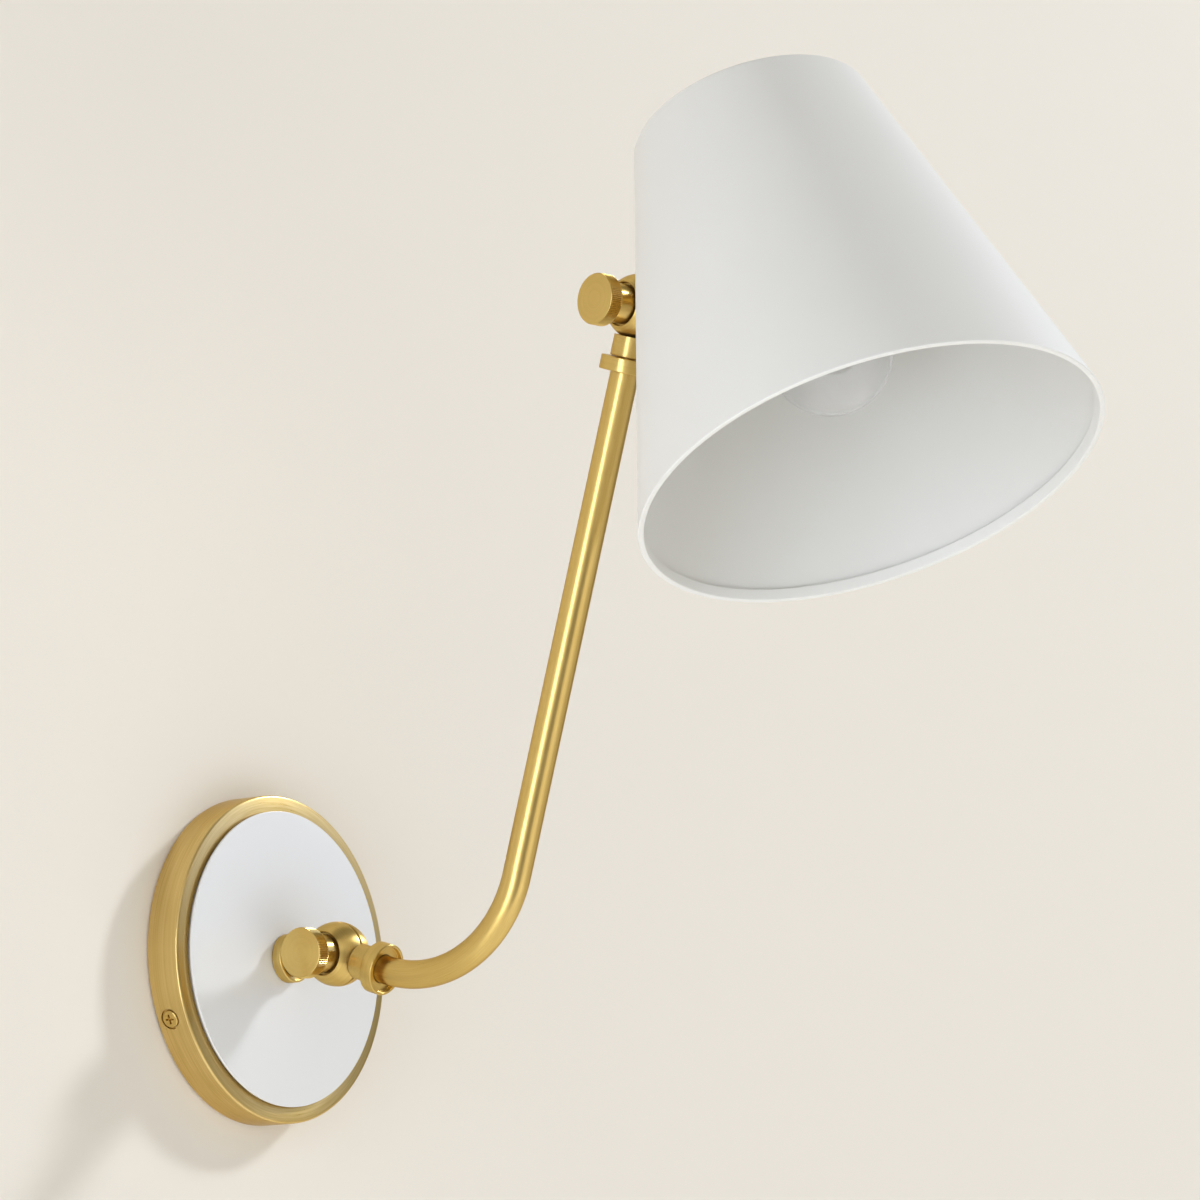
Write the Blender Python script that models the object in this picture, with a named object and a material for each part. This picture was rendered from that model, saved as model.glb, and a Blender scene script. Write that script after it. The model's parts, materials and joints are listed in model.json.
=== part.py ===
"""Swing arm wall sconce: a round wall plate, a bent tube between two thumb-screw knuckles, and a spun shade.

Metres, +Z up. X runs along the wall, -Y points out of it, and the origin is the centre of the plate's back.
Each group of parts that moves together hangs from an empty on its own joint axis.
"""

import math

import bmesh
import bpy
import numpy as np
from mathutils import Matrix, Vector

MM = 0.001
GAP = 0.3 * MM  # between parts that touch

# Pose of the joints as built, in degrees
ARM_DIP = 18.4  # the arm's first run points this far below the wall's normal
HEAD_TURN = -11.9  # head about the arm's upper run
HEAD_LIFT = 26.4  # stem of the shade above the arm's first run

# Wall plate
PLATE_R = 73.7 * MM
PLATE_DEPTH = 16.7 * MM
PLATE_WALL = 2.0 * MM
PLATE_RIM = 8.0 * MM  # width of the brass ring's face
RECESS = 1.5 * MM  # from the ring's face down to the web that carries the disc
WEB = 1.5 * MM
DISC_R = 66.4 * MM
DISC_LIP = 1.2 * MM  # thickness of the edge that stands over the ring
DISC_STEP_R = 64.6 * MM
DISC_PROUD = 2.4 * MM  # front of the disc from the ring's face
STRAP_ANGLE = 21.7  # the strap and its two side screws, below the horizontal at -X
SIDE_SCREW_OUT = 7.0 * MM
STRAP_RISE = 3.2 * MM
GROUND_AT = 20 * MM  # ground screw along the strap

# Knuckles
BALL_OUT = 47.9 * MM  # centre of the lower knuckle from the wall
BALL_R = 14.5 * MM
SPLIT = 0.55 * MM  # half of the space between the two halves
POCKET_R = 9.4 * MM
POCKET_DEPTH = 6.0 * MM
SEAT_R = 9.6 * MM
SEAT_DEPTH = 8.2 * MM  # floor of the thumb screw's seat from the split
SCOOP_R = 15.0 * MM  # hollow of a neck for the other half of its ball
NECK_R = 8.0 * MM
WIRE_R = 3.3 * MM
NIPPLE_R = 4.8 * MM
NIPPLE_WALL = 1.3 * MM
NIPPLE_GRIP = 6.0 * MM  # length of nipple inside a neck
NECK_FOOT = 11.0 * MM  # where a neck starts inside its ball
SPIGOT = 4.9 * MM  # length of neck inside the tube

# Thumb screws
KNOB_FACE = 26.3 * MM  # from the knuckle's centre
KNOB_R = 11.3 * MM
KNOB_HEAD = 6.6 * MM
KNOB_TEETH = 24
SHOULDER_R = 8.7 * MM
STUD_R = 2.4 * MM

# Arm
TUBE_R = 6.35 * MM
TUBE_WALL = 1.2 * MM
TUBE_RUN = 30.0 * MM  # knuckle centre to the start of the bend
BEND_R = 58.0 * MM
UPPER_RUN = 253.0 * MM  # end of the bend to the upper knuckle's centre
COLLAR_R = 11.6 * MM
COLLAR_FROM = 22.9 * MM
COLLAR_TO = 29.2 * MM
CUP_WALL = 1.3 * MM
CUP_DEPTH = 2.2 * MM

# Head
BOSS_R = 11.0 * MM
BOSS_CUP = 1.6 * MM
BOSS_FLOOR = 3.4 * MM
SHADE_R = 101.4 * MM
SHADE_TOP_R = 51.6 * MM
SHADE_H = 178.0 * MM
SHADE_WALL = 1.0 * MM
STEM_TO_SHADE = 29.4 * MM  # knuckle centre to the shade's wall
STEM_LEVEL = 135.4 * MM  # clamp hole above the shade's rim
SHADE_SIDES = 48
HEM = 4.6 * MM
BRACKET_LEVEL = 150 * MM
BULB_R = 26.6 * MM
BULB_LEVEL = 60.8 * MM  # centre of the globe above the rim

BRASS = (0.60, 0.42, 0.18)
STEEL = (0.55, 0.55, 0.56)
WHITE = (0.80, 0.80, 0.78)
FIBRE = (0.10, 0.09, 0.08)

slope = math.atan2(SHADE_R - SHADE_TOP_R, SHADE_H)  # of the shade's side to its axis


# ---------------------------------------------------------------- helpers


def clear_scene():
    for obj in list(bpy.data.objects):
        bpy.data.objects.remove(obj, do_unlink=True)


def material(name, colour, roughness, metallic=0.0, transmission=0.0):
    finish = bpy.data.materials.get(name)
    if finish is None:
        finish = bpy.data.materials.new(name)
        finish.use_nodes = True
        shader = finish.node_tree.nodes["Principled BSDF"]
        shader.inputs["Base Color"].default_value = (*colour, 1.0)
        shader.inputs["Roughness"].default_value = roughness
        shader.inputs["Metallic"].default_value = metallic
        shader.inputs["Transmission Weight"].default_value = transmission
    return finish


def brass(name):
    return material(name, BRASS, 0.28, 1.0)


def steel(name):
    return material(name, STEEL, 0.35, 1.0)


def empty(name, parent=None, location=(0, 0, 0), rotation=(0, 0, 0)):
    axis = bpy.data.objects.new(name, None)
    axis.empty_display_size = 0.02
    axis.location = location
    axis.rotation_euler = [math.radians(angle) for angle in rotation]
    axis.parent = parent
    bpy.context.scene.collection.objects.link(axis)
    return axis


def place(name, mesh, finish, parent, location=(0, 0, 0), rotation=(0, 0, 0)):
    obj = bpy.data.objects.new(name, mesh)
    obj.parent = parent
    obj.location = location
    obj.rotation_euler = [math.radians(angle) for angle in rotation]
    bpy.context.scene.collection.objects.link(obj)
    if finish is not None:
        mesh.materials.append(finish)
    return obj


def smooth(mesh):
    mesh.shade_smooth()
    mesh.set_sharp_from_angle(angle=math.radians(35))


def finished(name, bm):
    bmesh.ops.remove_doubles(bm, verts=bm.verts, dist=1e-6)
    bmesh.ops.recalc_face_normals(bm, faces=bm.faces)
    mesh = bpy.data.meshes.new(name)
    bm.to_mesh(mesh)
    bm.free()
    smooth(mesh)
    return mesh


def turned(name, profile, segments=24, along="Z", start=0.0):
    """The closed outline of (radius, height) points spun about an axis, from a start angle in degrees."""
    bm = bmesh.new()
    east, north = math.cos(math.radians(start)), math.sin(math.radians(start))
    points = [bm.verts.new((radius * east, radius * north, height)) for radius, height in profile]
    edges = [bm.edges.new((points[i - 1], points[i])) for i in range(len(points))]
    bmesh.ops.spin(
        bm, geom=points + edges, cent=(0, 0, 0), axis=(0, 0, 1), dvec=(0, 0, 0),
        angle=math.tau, steps=segments, use_merge=True, use_duplicate=False,
    )
    turn = {
        "Z": Matrix.Identity(3),
        "X": Matrix.Rotation(math.radians(90), 3, "Y"),
        "-X": Matrix.Rotation(math.radians(-90), 3, "Y"),
        "Y": Matrix.Rotation(math.radians(-90), 3, "X"),
        "-Y": Matrix.Rotation(math.radians(90), 3, "X"),
    }[along]
    bmesh.ops.transform(bm, matrix=turn.to_4x4(), verts=bm.verts)
    return finished(name, bm)


def ring(inner, outer, low, high, edge=0.0):
    """Outline of a flat ring, with its outer edges broken."""
    return [
        (inner, low), (outer - edge, low), (outer, low + edge),
        (outer, high - edge), (outer - edge, high), (inner, high),
    ] if edge else [(inner, low), (outer, low), (outer, high), (inner, high)]


def hex_nut(name, low, high, along, parent, location=(0, 0, 0)):
    """Thin nut for the lamp nipple: a round ring whose outside is pressed to a hexagon."""
    corner = 8.2 * MM
    mesh = turned(name, ring(NIPPLE_R + GAP, corner, low, high), 24)
    flat = corner * math.cos(math.radians(30))
    for vertex in mesh.vertices:
        if math.hypot(vertex.co.x, vertex.co.y) > corner - 0.01 * MM:
            angle = math.degrees(math.atan2(vertex.co.y, vertex.co.x)) % 60
            reach = flat / math.cos(math.radians(angle - 30)) / corner
            vertex.co.x *= reach
            vertex.co.y *= reach
    if along == "-Y":
        mesh.transform(Matrix.Rotation(math.radians(90), 4, "X"))
    return place(name, mesh, steel(name), parent, location)


def rod(radius, low, high, edge=0.0):
    return ring(0.0, radius, low, high, edge)


def arc(centre, radius, start, end, steps):
    """Points of an arc in an outline, angles in degrees from the radius direction."""
    angles = np.radians(np.linspace(start, end, steps + 1))
    return [(centre[0] + radius * math.cos(a), centre[1] + radius * math.sin(a)) for a in angles]


def boolean(obj, other, operation):
    other.hide_render = True
    other.display_type = "WIRE"
    modifier = obj.modifiers.new(f"{operation.lower()}_{other.name}", "BOOLEAN")
    modifier.object = other
    modifier.operation = operation
    modifier.solver = "EXACT"
    return obj


def cutter(name, mesh, parent, location=(0, 0, 0), rotation=(0, 0, 0)):
    helper = place(name, mesh, None, parent, location, rotation)
    helper.hide_render = True
    helper.display_type = "WIRE"
    return helper


def block(name, low, high):
    bm = bmesh.new()
    bmesh.ops.create_cube(bm, size=1.0)
    size = Vector(high) - Vector(low)
    middle = (Vector(high) + Vector(low)) / 2
    bmesh.ops.scale(bm, vec=size, verts=bm.verts)
    bmesh.ops.translate(bm, vec=middle, verts=bm.verts)
    return finished(name, bm)


def bent_strip(name, line, thickness, width):
    """A flat bar of the given width along X, bent along a line of (y, z) points with mitred corners."""
    line = [np.array(point, float) for point in line]
    sides = ([], [])
    for i, point in enumerate(line):
        before = line[i] - line[i - 1] if i else line[1] - line[0]
        after = line[i + 1] - line[i] if i + 1 < len(line) else line[-1] - line[-2]
        before = before / np.linalg.norm(before)
        after = after / np.linalg.norm(after)
        normal = np.array([-(before + after)[1], (before + after)[0]])
        normal = normal / np.linalg.norm(normal)
        reach = thickness / 2 / (normal @ np.array([-after[1], after[0]]))
        sides[0].append(point + normal * reach)
        sides[1].append(point - normal * reach)
    bm = bmesh.new()
    outline = [bm.verts.new((-width / 2, y, z)) for y, z in sides[0] + sides[1][::-1]]
    face = bm.faces.new(outline)
    grown = bmesh.ops.extrude_face_region(bm, geom=[face])
    moved = [item for item in grown["geom"] if isinstance(item, bmesh.types.BMVert)]
    bmesh.ops.translate(bm, vec=(width, 0, 0), verts=moved)
    return finished(name, bm)


def lead(name, points, radius, colour, parent, sides=1):
    """A round insulated wire through the points, as one solid."""
    curve = bpy.data.curves.new(name, "CURVE")
    curve.dimensions = "3D"
    curve.bevel_depth = radius
    curve.bevel_resolution = sides
    curve.use_fill_caps = True
    line = curve.splines.new("POLY")
    line.points.add(len(points) - 1)
    for target, point in zip(line.points, points):
        target.co = (*point, 1.0)
    obj = bpy.data.objects.new(name, curve)
    obj.parent = parent
    curve.materials.append(material(f"{name}_sleeve", colour, 0.5))
    bpy.context.scene.collection.objects.link(obj)
    return obj


def through(points, steps):
    """A smooth run of points through the given ones (Catmull-Rom)."""
    points = [Vector(point) for point in points]
    ends = [2 * points[0] - points[1], *points, 2 * points[-1] - points[-2]]
    run = []
    for a, b, c, d in zip(ends, ends[1:], ends[2:], ends[3:]):
        for t in np.arange(steps) / steps:
            run.append(
                0.5 * ((2 * b) + (c - a) * t + (2 * a - 5 * b + 4 * c - d) * t**2
                       + (3 * b - a - 3 * c + d) * t**3)
            )
    return [*run, points[-1]]


# ---------------------------------------------------------------- knuckle


def half_ball_outline(blind):
    """Outline of half a knuckle: radius from the pivot against distance from the split."""
    rise = math.degrees(math.asin(SPLIT / BALL_R))
    if blind:
        shell = arc((0, 0), BALL_R, rise, 90, 7)
        inside = [(0, 11.5 * MM), (STUD_R + GAP, 11.5 * MM), (STUD_R + GAP, POCKET_DEPTH)]
    else:
        mouth = math.degrees(math.acos(SEAT_R / BALL_R))
        shell = arc((0, 0), BALL_R, rise, mouth, 5)
        inside = [
            (SEAT_R, SEAT_DEPTH), (STUD_R + 0.4 * MM, SEAT_DEPTH), (STUD_R + 0.4 * MM, POCKET_DEPTH),
        ]
    return [*shell, *inside, (POCKET_R, POCKET_DEPTH), (POCKET_R, SPLIT)]


def knuckle_half(name, parent, near, neck_end, spigot_end=None, rotation=0.0):
    """Half of a knuckle with its neck along -Y, scooped so that the other half can roll in it.

    The near half seats the thumb screw, and the far half takes its thread. The neck ends in a spigot
    for the tube, or in a counterbore for a nipple.
    """
    turn = (rotation, 0, 0)
    way = "-X" if near else "X"
    half = place(name, turned(name, half_ball_outline(not near), 24, way, 7.5), brass(name), parent,
                 rotation=turn)
    neck_outline = [
        (0, NECK_FOOT), (NECK_R, NECK_FOOT), (NECK_R, neck_end - 0.4 * MM),
        (NECK_R - 0.4 * MM, neck_end),
    ]
    if spigot_end:
        spigot_r = TUBE_R - TUBE_WALL - GAP
        neck_outline += [(spigot_r, neck_end), (spigot_r, spigot_end), (0, spigot_end)]
    else:
        neck_outline += [(0, neck_end)]
    neck = cutter(f"{name}_neck", turned(f"{name}_neck", neck_outline, 20, "-Y", 9.0), parent, rotation=turn)
    flat = -(SPLIT + 0.35 * MM)
    scoop_outline = [(0, flat), (SCOOP_R, flat), *arc((0, 0), SCOOP_R, 0, 90, 6)]
    scoop = cutter(f"{name}_scoop", turned(f"{name}_scoop", scoop_outline, 24, "X" if near else "-X", 3.0),
                   parent, rotation=turn)
    boolean(neck, scoop, "DIFFERENCE")
    boolean(half, neck, "UNION")
    if spigot_end:
        bore_outline = rod(WIRE_R, 4 * MM, spigot_end + MM)
    else:
        nipple_hole = NIPPLE_R + GAP
        floor = neck_end - NIPPLE_GRIP - MM
        bore_outline = [
            (0, 4 * MM), (WIRE_R, 4 * MM), (WIRE_R, floor), (nipple_hole, floor),
            (nipple_hole, neck_end + MM), (0, neck_end + MM),
        ]
    bore = cutter(f"{name}_bore", turned(f"{name}_bore", bore_outline, 16, "-Y", 4.0), parent, rotation=turn)
    return boolean(half, bore, "DIFFERENCE")


def friction_washer(name, parent):
    outline = ring(10.0 * MM, 13.6 * MM, -0.25 * MM, 0.25 * MM)
    return place(name, turned(name, outline, 24, "X"), material(name, FIBRE, 0.8), parent)


def thumb_screw(name, parent):
    """Knurled head, plain shoulder and stud in one piece, turning on the knuckle's own axis."""
    back = KNOB_FACE - KNOB_HEAD
    seat = SEAT_DEPTH + 1.1 * MM
    outline = [
        (0, -9.5 * MM), (STUD_R - 0.5 * MM, -9.5 * MM), (STUD_R, -9.0 * MM), (STUD_R, seat),
        (SHOULDER_R, seat), (SHOULDER_R, back), (KNOB_R - 0.7 * MM, back), (KNOB_R, back + 0.7 * MM),
        (KNOB_R, KNOB_FACE - 0.9 * MM), (KNOB_R - 0.7 * MM, KNOB_FACE), (0, KNOB_FACE),
    ]
    mesh = turned(name, outline, 2 * KNOB_TEETH, "-X")
    groove = 1 - 0.5 * MM / KNOB_R
    for vertex in mesh.vertices:
        radius = math.hypot(vertex.co.y, vertex.co.z)
        step = round(math.atan2(vertex.co.z, vertex.co.y) / math.pi * KNOB_TEETH)
        if radius > KNOB_R - 0.01 * MM and step % 2:
            vertex.co.y *= groove
            vertex.co.z *= groove
    return place(name, mesh, brass(name), parent)


def spring_washer(name, parent):
    outline = ring(STUD_R + 0.3 * MM, 6.5 * MM, SEAT_DEPTH + GAP, SEAT_DEPTH + 0.8 * MM)
    return place(name, turned(name, outline, 20, "-X"), steel(name), parent)


def cup(name, parent, radius, bore, foot, mouth, depth, finish, location=(0, 0, 0), rotation=0.0):
    """A round cup along -Y from its foot to its mouth, with a through bore in its floor."""
    edge = 0.4 * MM
    outline = [
        (bore, foot), (radius - edge, foot), (radius, foot + edge), (radius, mouth - edge),
        (radius - edge, mouth), (radius - CUP_WALL, mouth), (radius - CUP_WALL, mouth - depth),
        (bore, mouth - depth),
    ]
    return place(name, turned(name, outline, 22, "-Y"), finish, parent, location, (rotation, 0, 0))


# ---------------------------------------------------------------- wall plate


def canopy_ring(root):
    """Turned pan: flat back rim, side wall, front ring, and a recessed web that carries the disc."""
    inside = PLATE_R - PLATE_WALL
    ring_inner = PLATE_R - PLATE_RIM
    web_front = PLATE_DEPTH - RECESS
    web_back = web_front - WEB
    outline = [
        (inside, 0), (PLATE_R, 0), (PLATE_R, PLATE_DEPTH - MM), (PLATE_R - MM, PLATE_DEPTH),
        (ring_inner + 0.5 * MM, PLATE_DEPTH), (ring_inner, PLATE_DEPTH - 0.5 * MM),
        (ring_inner, web_front), (NIPPLE_R + GAP, web_front), (NIPPLE_R + GAP, web_back),
        (inside, web_back),
    ]
    pan = place("canopy_ring", turned("canopy_ring", outline, 48, "-Y"), brass("canopy_ring"), root)
    hole = [
        (0, 60 * MM), (2.4 * MM, 60 * MM), (2.4 * MM, PLATE_R - 1.3 * MM),
        (4.5 * MM, PLATE_R - 1.3 * MM), (4.5 * MM, 80 * MM), (0, 80 * MM),
    ]
    for number, side in ((1, -1), (2, 1)):
        name = f"canopy_hole_{number}"
        boolean(pan, cutter(name, turned(name, hole, 16), root, (0, -SIDE_SCREW_OUT, 0),
                            (0, side_turn(side), 0)), "DIFFERENCE")
    return pan


def side_turn(side):
    """Turn about Y that takes +Z to a side screw's outward direction."""
    return side * 90 - STRAP_ANGLE


def canopy_disc(root):
    """Disc with a stepped back: its middle rests on the web, and its thin edge stands clear of the ring."""
    front = PLATE_DEPTH + DISC_PROUD
    back = PLATE_DEPTH - RECESS + GAP
    edge = 0.3 * MM
    outline = [
        (NIPPLE_R + GAP, back), (DISC_STEP_R, back), (DISC_STEP_R, front - DISC_LIP),
        (DISC_R, front - DISC_LIP), (DISC_R, front - edge), (DISC_R - edge, front), (NIPPLE_R + GAP, front),
    ]
    return place("canopy_disc", turned("canopy_disc", outline, 48, "-Y"),
                 material("canopy_disc", WHITE, 0.4), root)


def stem_nipple(root, neck_end):
    """Hollow threaded tube that clamps web, disc and boss, and on which the lower knuckle swivels."""
    start = PLATE_DEPTH - 9.0 * MM
    end = BALL_OUT - neck_end + NIPPLE_GRIP
    outline = ring(NIPPLE_R - NIPPLE_WALL, NIPPLE_R, start, end, 0.4 * MM)
    place("stem_nipple", turned("stem_nipple", outline, 20, "-Y"), steel("stem_nipple"), root)
    web_back = PLATE_DEPTH - RECESS - WEB
    washer = ring(NIPPLE_R + GAP, 9 * MM, web_back - 1.3 * MM, web_back - GAP)
    place("nipple_washer", turned("nipple_washer", washer, 20, "-Y"), steel("nipple_washer"), root)
    hex_nut("nipple_nut", web_back - 4.6 * MM, web_back - 1.6 * MM, "-Y", root)


def mounting_strap(root):
    """Offset bar: slotted feet on the wall, raised middle, and two tabs that take the side screws."""
    tab = PLATE_R - PLATE_WALL - 2.5 * MM
    half = [(tab, 12.0 * MM), (tab, MM), (36 * MM, MM), (31 * MM, STRAP_RISE)]
    line = half + [(-reach, rise) for reach, rise in reversed(half)]
    fall = math.radians(STRAP_ANGLE)
    along = Vector((math.cos(fall), 0, math.sin(fall)))
    out = Vector((0, -1, 0))
    lie = empty("strap_axis", root)
    lie.rotation_euler = Matrix((along.cross(out), along, out)).transposed().to_euler()
    strap = place("mounting_strap", bent_strip("mounting_strap", line, 2 * MM, 16 * MM),
                  steel("mounting_strap"), lie)
    cuts = [("strap_tap", rod(2.3 * MM, -80 * MM, 80 * MM), "Y", (0, 0, SIDE_SCREW_OUT)),
            ("strap_centre_hole", rod(6 * MM, 0, 8 * MM), "Z", (0, 0, 0)),
            ("strap_ground_hole", rod(2.2 * MM, 0, 8 * MM), "Z", (0, GROUND_AT, 0))]
    for name, outline, way, location in cuts:
        boolean(strap, cutter(name, turned(name, outline, 14, way), lie, location), "DIFFERENCE")
    for number, side in ((1, -1), (2, 1)):
        name = f"strap_slot_{number}"
        low, high = sorted((side * 42 * MM, side * 58 * MM))
        slot = block(name, (-2.3 * MM, low, -MM), (2.3 * MM, high, 3 * MM))
        boolean(strap, cutter(name, slot, lie), "DIFFERENCE")
    screw = [
        (0, 0.8 * MM), (1.9 * MM, 0.8 * MM), (1.9 * MM, STRAP_RISE + 1.3 * MM),
        (4.4 * MM, STRAP_RISE + 1.3 * MM), (4.4 * MM, STRAP_RISE + 4 * MM), (0, STRAP_RISE + 4 * MM),
    ]
    place("ground_screw", turned("ground_screw", screw, 12),
          material("ground_screw", (0.05, 0.30, 0.10), 0.4, 1.0), lie, (0, GROUND_AT, 0))


def side_screw(number, side, root):
    """Pan head with a cross recess, flush in the plate's side, threaded into the strap's tab."""
    name = f"canopy_screw_{number}"
    under = PLATE_R - MM
    top = PLATE_R + 0.3 * MM
    outline = [
        (0, 62 * MM), (1.5 * MM, 62 * MM), (2 * MM, 62.6 * MM), (2 * MM, under), (4.1 * MM, under),
        (4.1 * MM, top - 0.6 * MM), (3.4 * MM, top), (0, top),
    ]
    screw = place(name, turned(name, outline, 20), brass(name), root, (0, -SIDE_SCREW_OUT, 0),
                  (0, side_turn(side), 0))
    for arm, (x, y) in enumerate(((2.3, 0.45), (0.45, 2.3))):
        helper = f"cross_{number}_{arm}"
        low = (-x * MM, -y * MM, top - 0.9 * MM)
        bar = block(helper, low, (x * MM, y * MM, top + MM))
        boolean(screw, cutter(helper, bar, root, (0, -SIDE_SCREW_OUT, 0), (0, side_turn(side), 0)),
                "DIFFERENCE")


def supply_leads(root):
    """Two short leads from the nipple to their wire connectors, one each side of the strap."""
    fall = math.radians(STRAP_ANGLE)
    across = Vector((-math.sin(fall), 0, math.cos(fall)))
    for word, side, colour in (("live", 1, (0.02, 0.02, 0.02)), ("neutral", -1, (0.8, 0.8, 0.78))):
        out = Vector((0, -1, 0))
        way = across * side
        marks = [(1.2, 12.5), (1.2, 9), (2.0, 6.9), (4.6, 5.7), (10, 5.9), (17, 6.7), (23, 7.0), (29, 7.0)]
        points = through([way * run * MM + out * height * MM for run, height in marks], 2)
        lead(f"lead_{word}", points, 0.9 * MM, colour, root)
        shell = [
            (0, 12 * MM), (1.3 * MM, 12 * MM), (1.3 * MM, 0), (5.2 * MM, 0), (5.2 * MM, 5 * MM),
            (3.9 * MM, 19 * MM), (3 * MM, 20 * MM), (0, 20 * MM),
        ]
        name = f"wire_connector_{word}"
        turn = Vector((0, 0, 1)).rotation_difference(way).to_euler()
        cap = place(name, turned(name, shell, 12), material(name, (0.75, 0.30, 0.05), 0.4), root,
                    way * 25 * MM + out * 7 * MM)
        cap.rotation_euler = turn


# ---------------------------------------------------------------- arm


def arm_path(start, stop):
    """Centre line of the arm in its own frame: out along -Y, a quarter bend, then up to the head."""
    bend = [
        (0, -TUBE_RUN - BEND_R * math.sin(a), BEND_R * (1 - math.cos(a)))
        for a in np.linspace(0, math.pi / 2, 13)
    ]
    return [(0, -start, 0), *bend, (0, -TUBE_RUN - BEND_R, BEND_R + UPPER_RUN - stop)]


def arm_tube(arm):
    """Bent tube with open ends: rings of points carried along the centre line."""
    path = np.array(arm_path(COLLAR_FROM, COLLAR_FROM))
    bend = np.linspace(0, math.pi / 2, len(path) - 2)
    bend = np.concatenate([[0], bend, [math.pi / 2]])
    sides = 18
    angles = np.arange(sides) * math.tau / sides
    normals = np.stack([np.zeros_like(bend), np.sin(bend), np.cos(bend)], 1)
    rings = []
    for radius in (TUBE_R, TUBE_R - TUBE_WALL):
        across = np.outer(np.cos(angles), (1.0, 0, 0))
        for centre, normal in zip(path, normals):
            rings.append(centre + radius * (across + np.outer(np.sin(angles), normal)))
    points = np.concatenate(rings)
    count = len(path)
    faces = []
    for row in range(2 * count):
        joined = row + 1 if row + 1 < count else 2 * count - 1 if row == count - 1 else row - 1
        if row == count:
            joined = 0
        for side in range(sides):
            nxt = (side + 1) % sides
            faces.append((row * sides + side, row * sides + nxt,
                          joined * sides + nxt, joined * sides + side))
    bm = bmesh.new()
    made = [bm.verts.new(point) for point in points]
    for face in faces:
        bm.faces.new([made[i] for i in face])
    return place("arm_tube", finished("arm_tube", bm), brass("arm_tube"), arm)


def arm_parts(arm):
    neck_end = COLLAR_FROM - GAP
    knuckle_half("lower_knuckle_arm_half", arm, False, neck_end, neck_end + SPIGOT)
    bore = TUBE_R + GAP
    cup("lower_collar", arm, COLLAR_R, bore, COLLAR_FROM, COLLAR_TO, CUP_DEPTH, brass("lower_collar"))
    arm_tube(arm)
    top = (0, -TUBE_RUN - BEND_R, BEND_R + UPPER_RUN)
    cup("upper_collar", arm, COLLAR_R, bore, COLLAR_FROM, COLLAR_TO, CUP_DEPTH, brass("upper_collar"),
        top, 90)
    lead("arm_lead", arm_path(16 * MM, 16 * MM), 2.2 * MM, (0.8, 0.8, 0.78), arm)


# ---------------------------------------------------------------- head


def side_r(height):
    """Outer radius of the shade at a height above its rim."""
    return SHADE_R - math.tan(slope) * height


def shade_outline():
    """Folded hem at the rim, straight side, rounded shoulder and closed top."""
    shoulder = 2.5 * MM
    inner = SHADE_WALL / math.cos(slope)
    top = SHADE_H - SHADE_WALL
    corner = side_r(SHADE_H) - shoulder
    turn = [(side_r(SHADE_H) - shoulder * (1 - math.sin(a)), SHADE_H - shoulder * (1 - math.cos(a)))
            for a in np.radians([0, 25, 50])]
    return [
        (side_r(0), 0.9 * MM), (side_r(0) - 0.4 * MM, 0.2 * MM), (side_r(0) - MM, 0),
        (side_r(0) - 1.7 * MM, 0.2 * MM), (side_r(0) - 2.1 * MM, 0.9 * MM),
        (side_r(HEM) - 2.1 * MM, HEM), (side_r(HEM) - inner, HEM + 0.4 * MM),
        (side_r(top) - inner, top - MM), (side_r(top) - inner - MM, top), (0, top), (0, SHADE_H),
        (corner, SHADE_H), *turn[1:], (side_r(SHADE_H - shoulder), SHADE_H - shoulder),
    ]


def shade_parts(stem, rim, neck_end):
    """Shade, the boss and nipple that clamp its side, and the bracket inside it."""
    shade = place("shade", turned("shade", shade_outline(), SHADE_SIDES), material("shade", WHITE, 0.5),
                  rim)
    hole = turned("shade_hole", rod(NIPPLE_R + GAP, 25 * MM, 36 * MM), 16, "-Y")
    boolean(shade, cutter("shade_hole", hole, stem), "DIFFERENCE")
    mouth = STEM_TO_SHADE - neck_end - GAP + BOSS_CUP
    boss = cup("shade_boss", stem, BOSS_R, NIPPLE_R + GAP, -1.2 * MM, mouth, BOSS_CUP,
               brass("shade_boss"), (0, -STEM_TO_SHADE, 0), 180)
    past = [(0, -5 * MM), (side_r(-5 * MM) + GAP, -5 * MM), (side_r(SHADE_H) + GAP, SHADE_H), (0, SHADE_H)]
    boolean(boss, cutter("shade_seat", turned("shade_seat", past, SHADE_SIDES), rim), "DIFFERENCE")
    nipple = ring(NIPPLE_R - NIPPLE_WALL, NIPPLE_R, neck_end - NIPPLE_GRIP, STEM_TO_SHADE + 10 * MM,
                  0.4 * MM)
    place("shade_nipple", turned("shade_nipple", nipple, 16, "-Y"), steel("shade_nipple"), stem)
    washer = ring(NIPPLE_R + GAP, 7 * MM, STEM_TO_SHADE + 1.7 * MM, STEM_TO_SHADE + 2.2 * MM)
    place("shade_washer", turned("shade_washer", washer, 16, "-Y"), steel("shade_washer"), stem)
    hex_nut("shade_nut", STEM_TO_SHADE + 4.8 * MM, STEM_TO_SHADE + 8.0 * MM, "-Y", stem)
    inset = 3.5 * MM / math.cos(slope)
    line = [(side_r(height) - inset, height) for height in (124 * MM, BRACKET_LEVEL)]
    bracket = bent_strip("socket_bracket", [*line, (-10 * MM, BRACKET_LEVEL)], 2 * MM, 18 * MM)
    bracket = place("socket_bracket", bracket, material("socket_bracket", WHITE, 0.45), rim)
    clamp = turned("bracket_clamp_hole", rod(NIPPLE_R + GAP, 29 * MM, 38 * MM), 16, "-Y")
    boolean(bracket, cutter("bracket_clamp_hole", clamp, stem), "DIFFERENCE")
    drop = turned("bracket_socket_hole", rod(NIPPLE_R + GAP, -4 * MM, 4 * MM), 16)
    boolean(bracket, cutter("bracket_socket_hole", drop, rim, (0, 0, BRACKET_LEVEL)), "DIFFERENCE")


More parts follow.
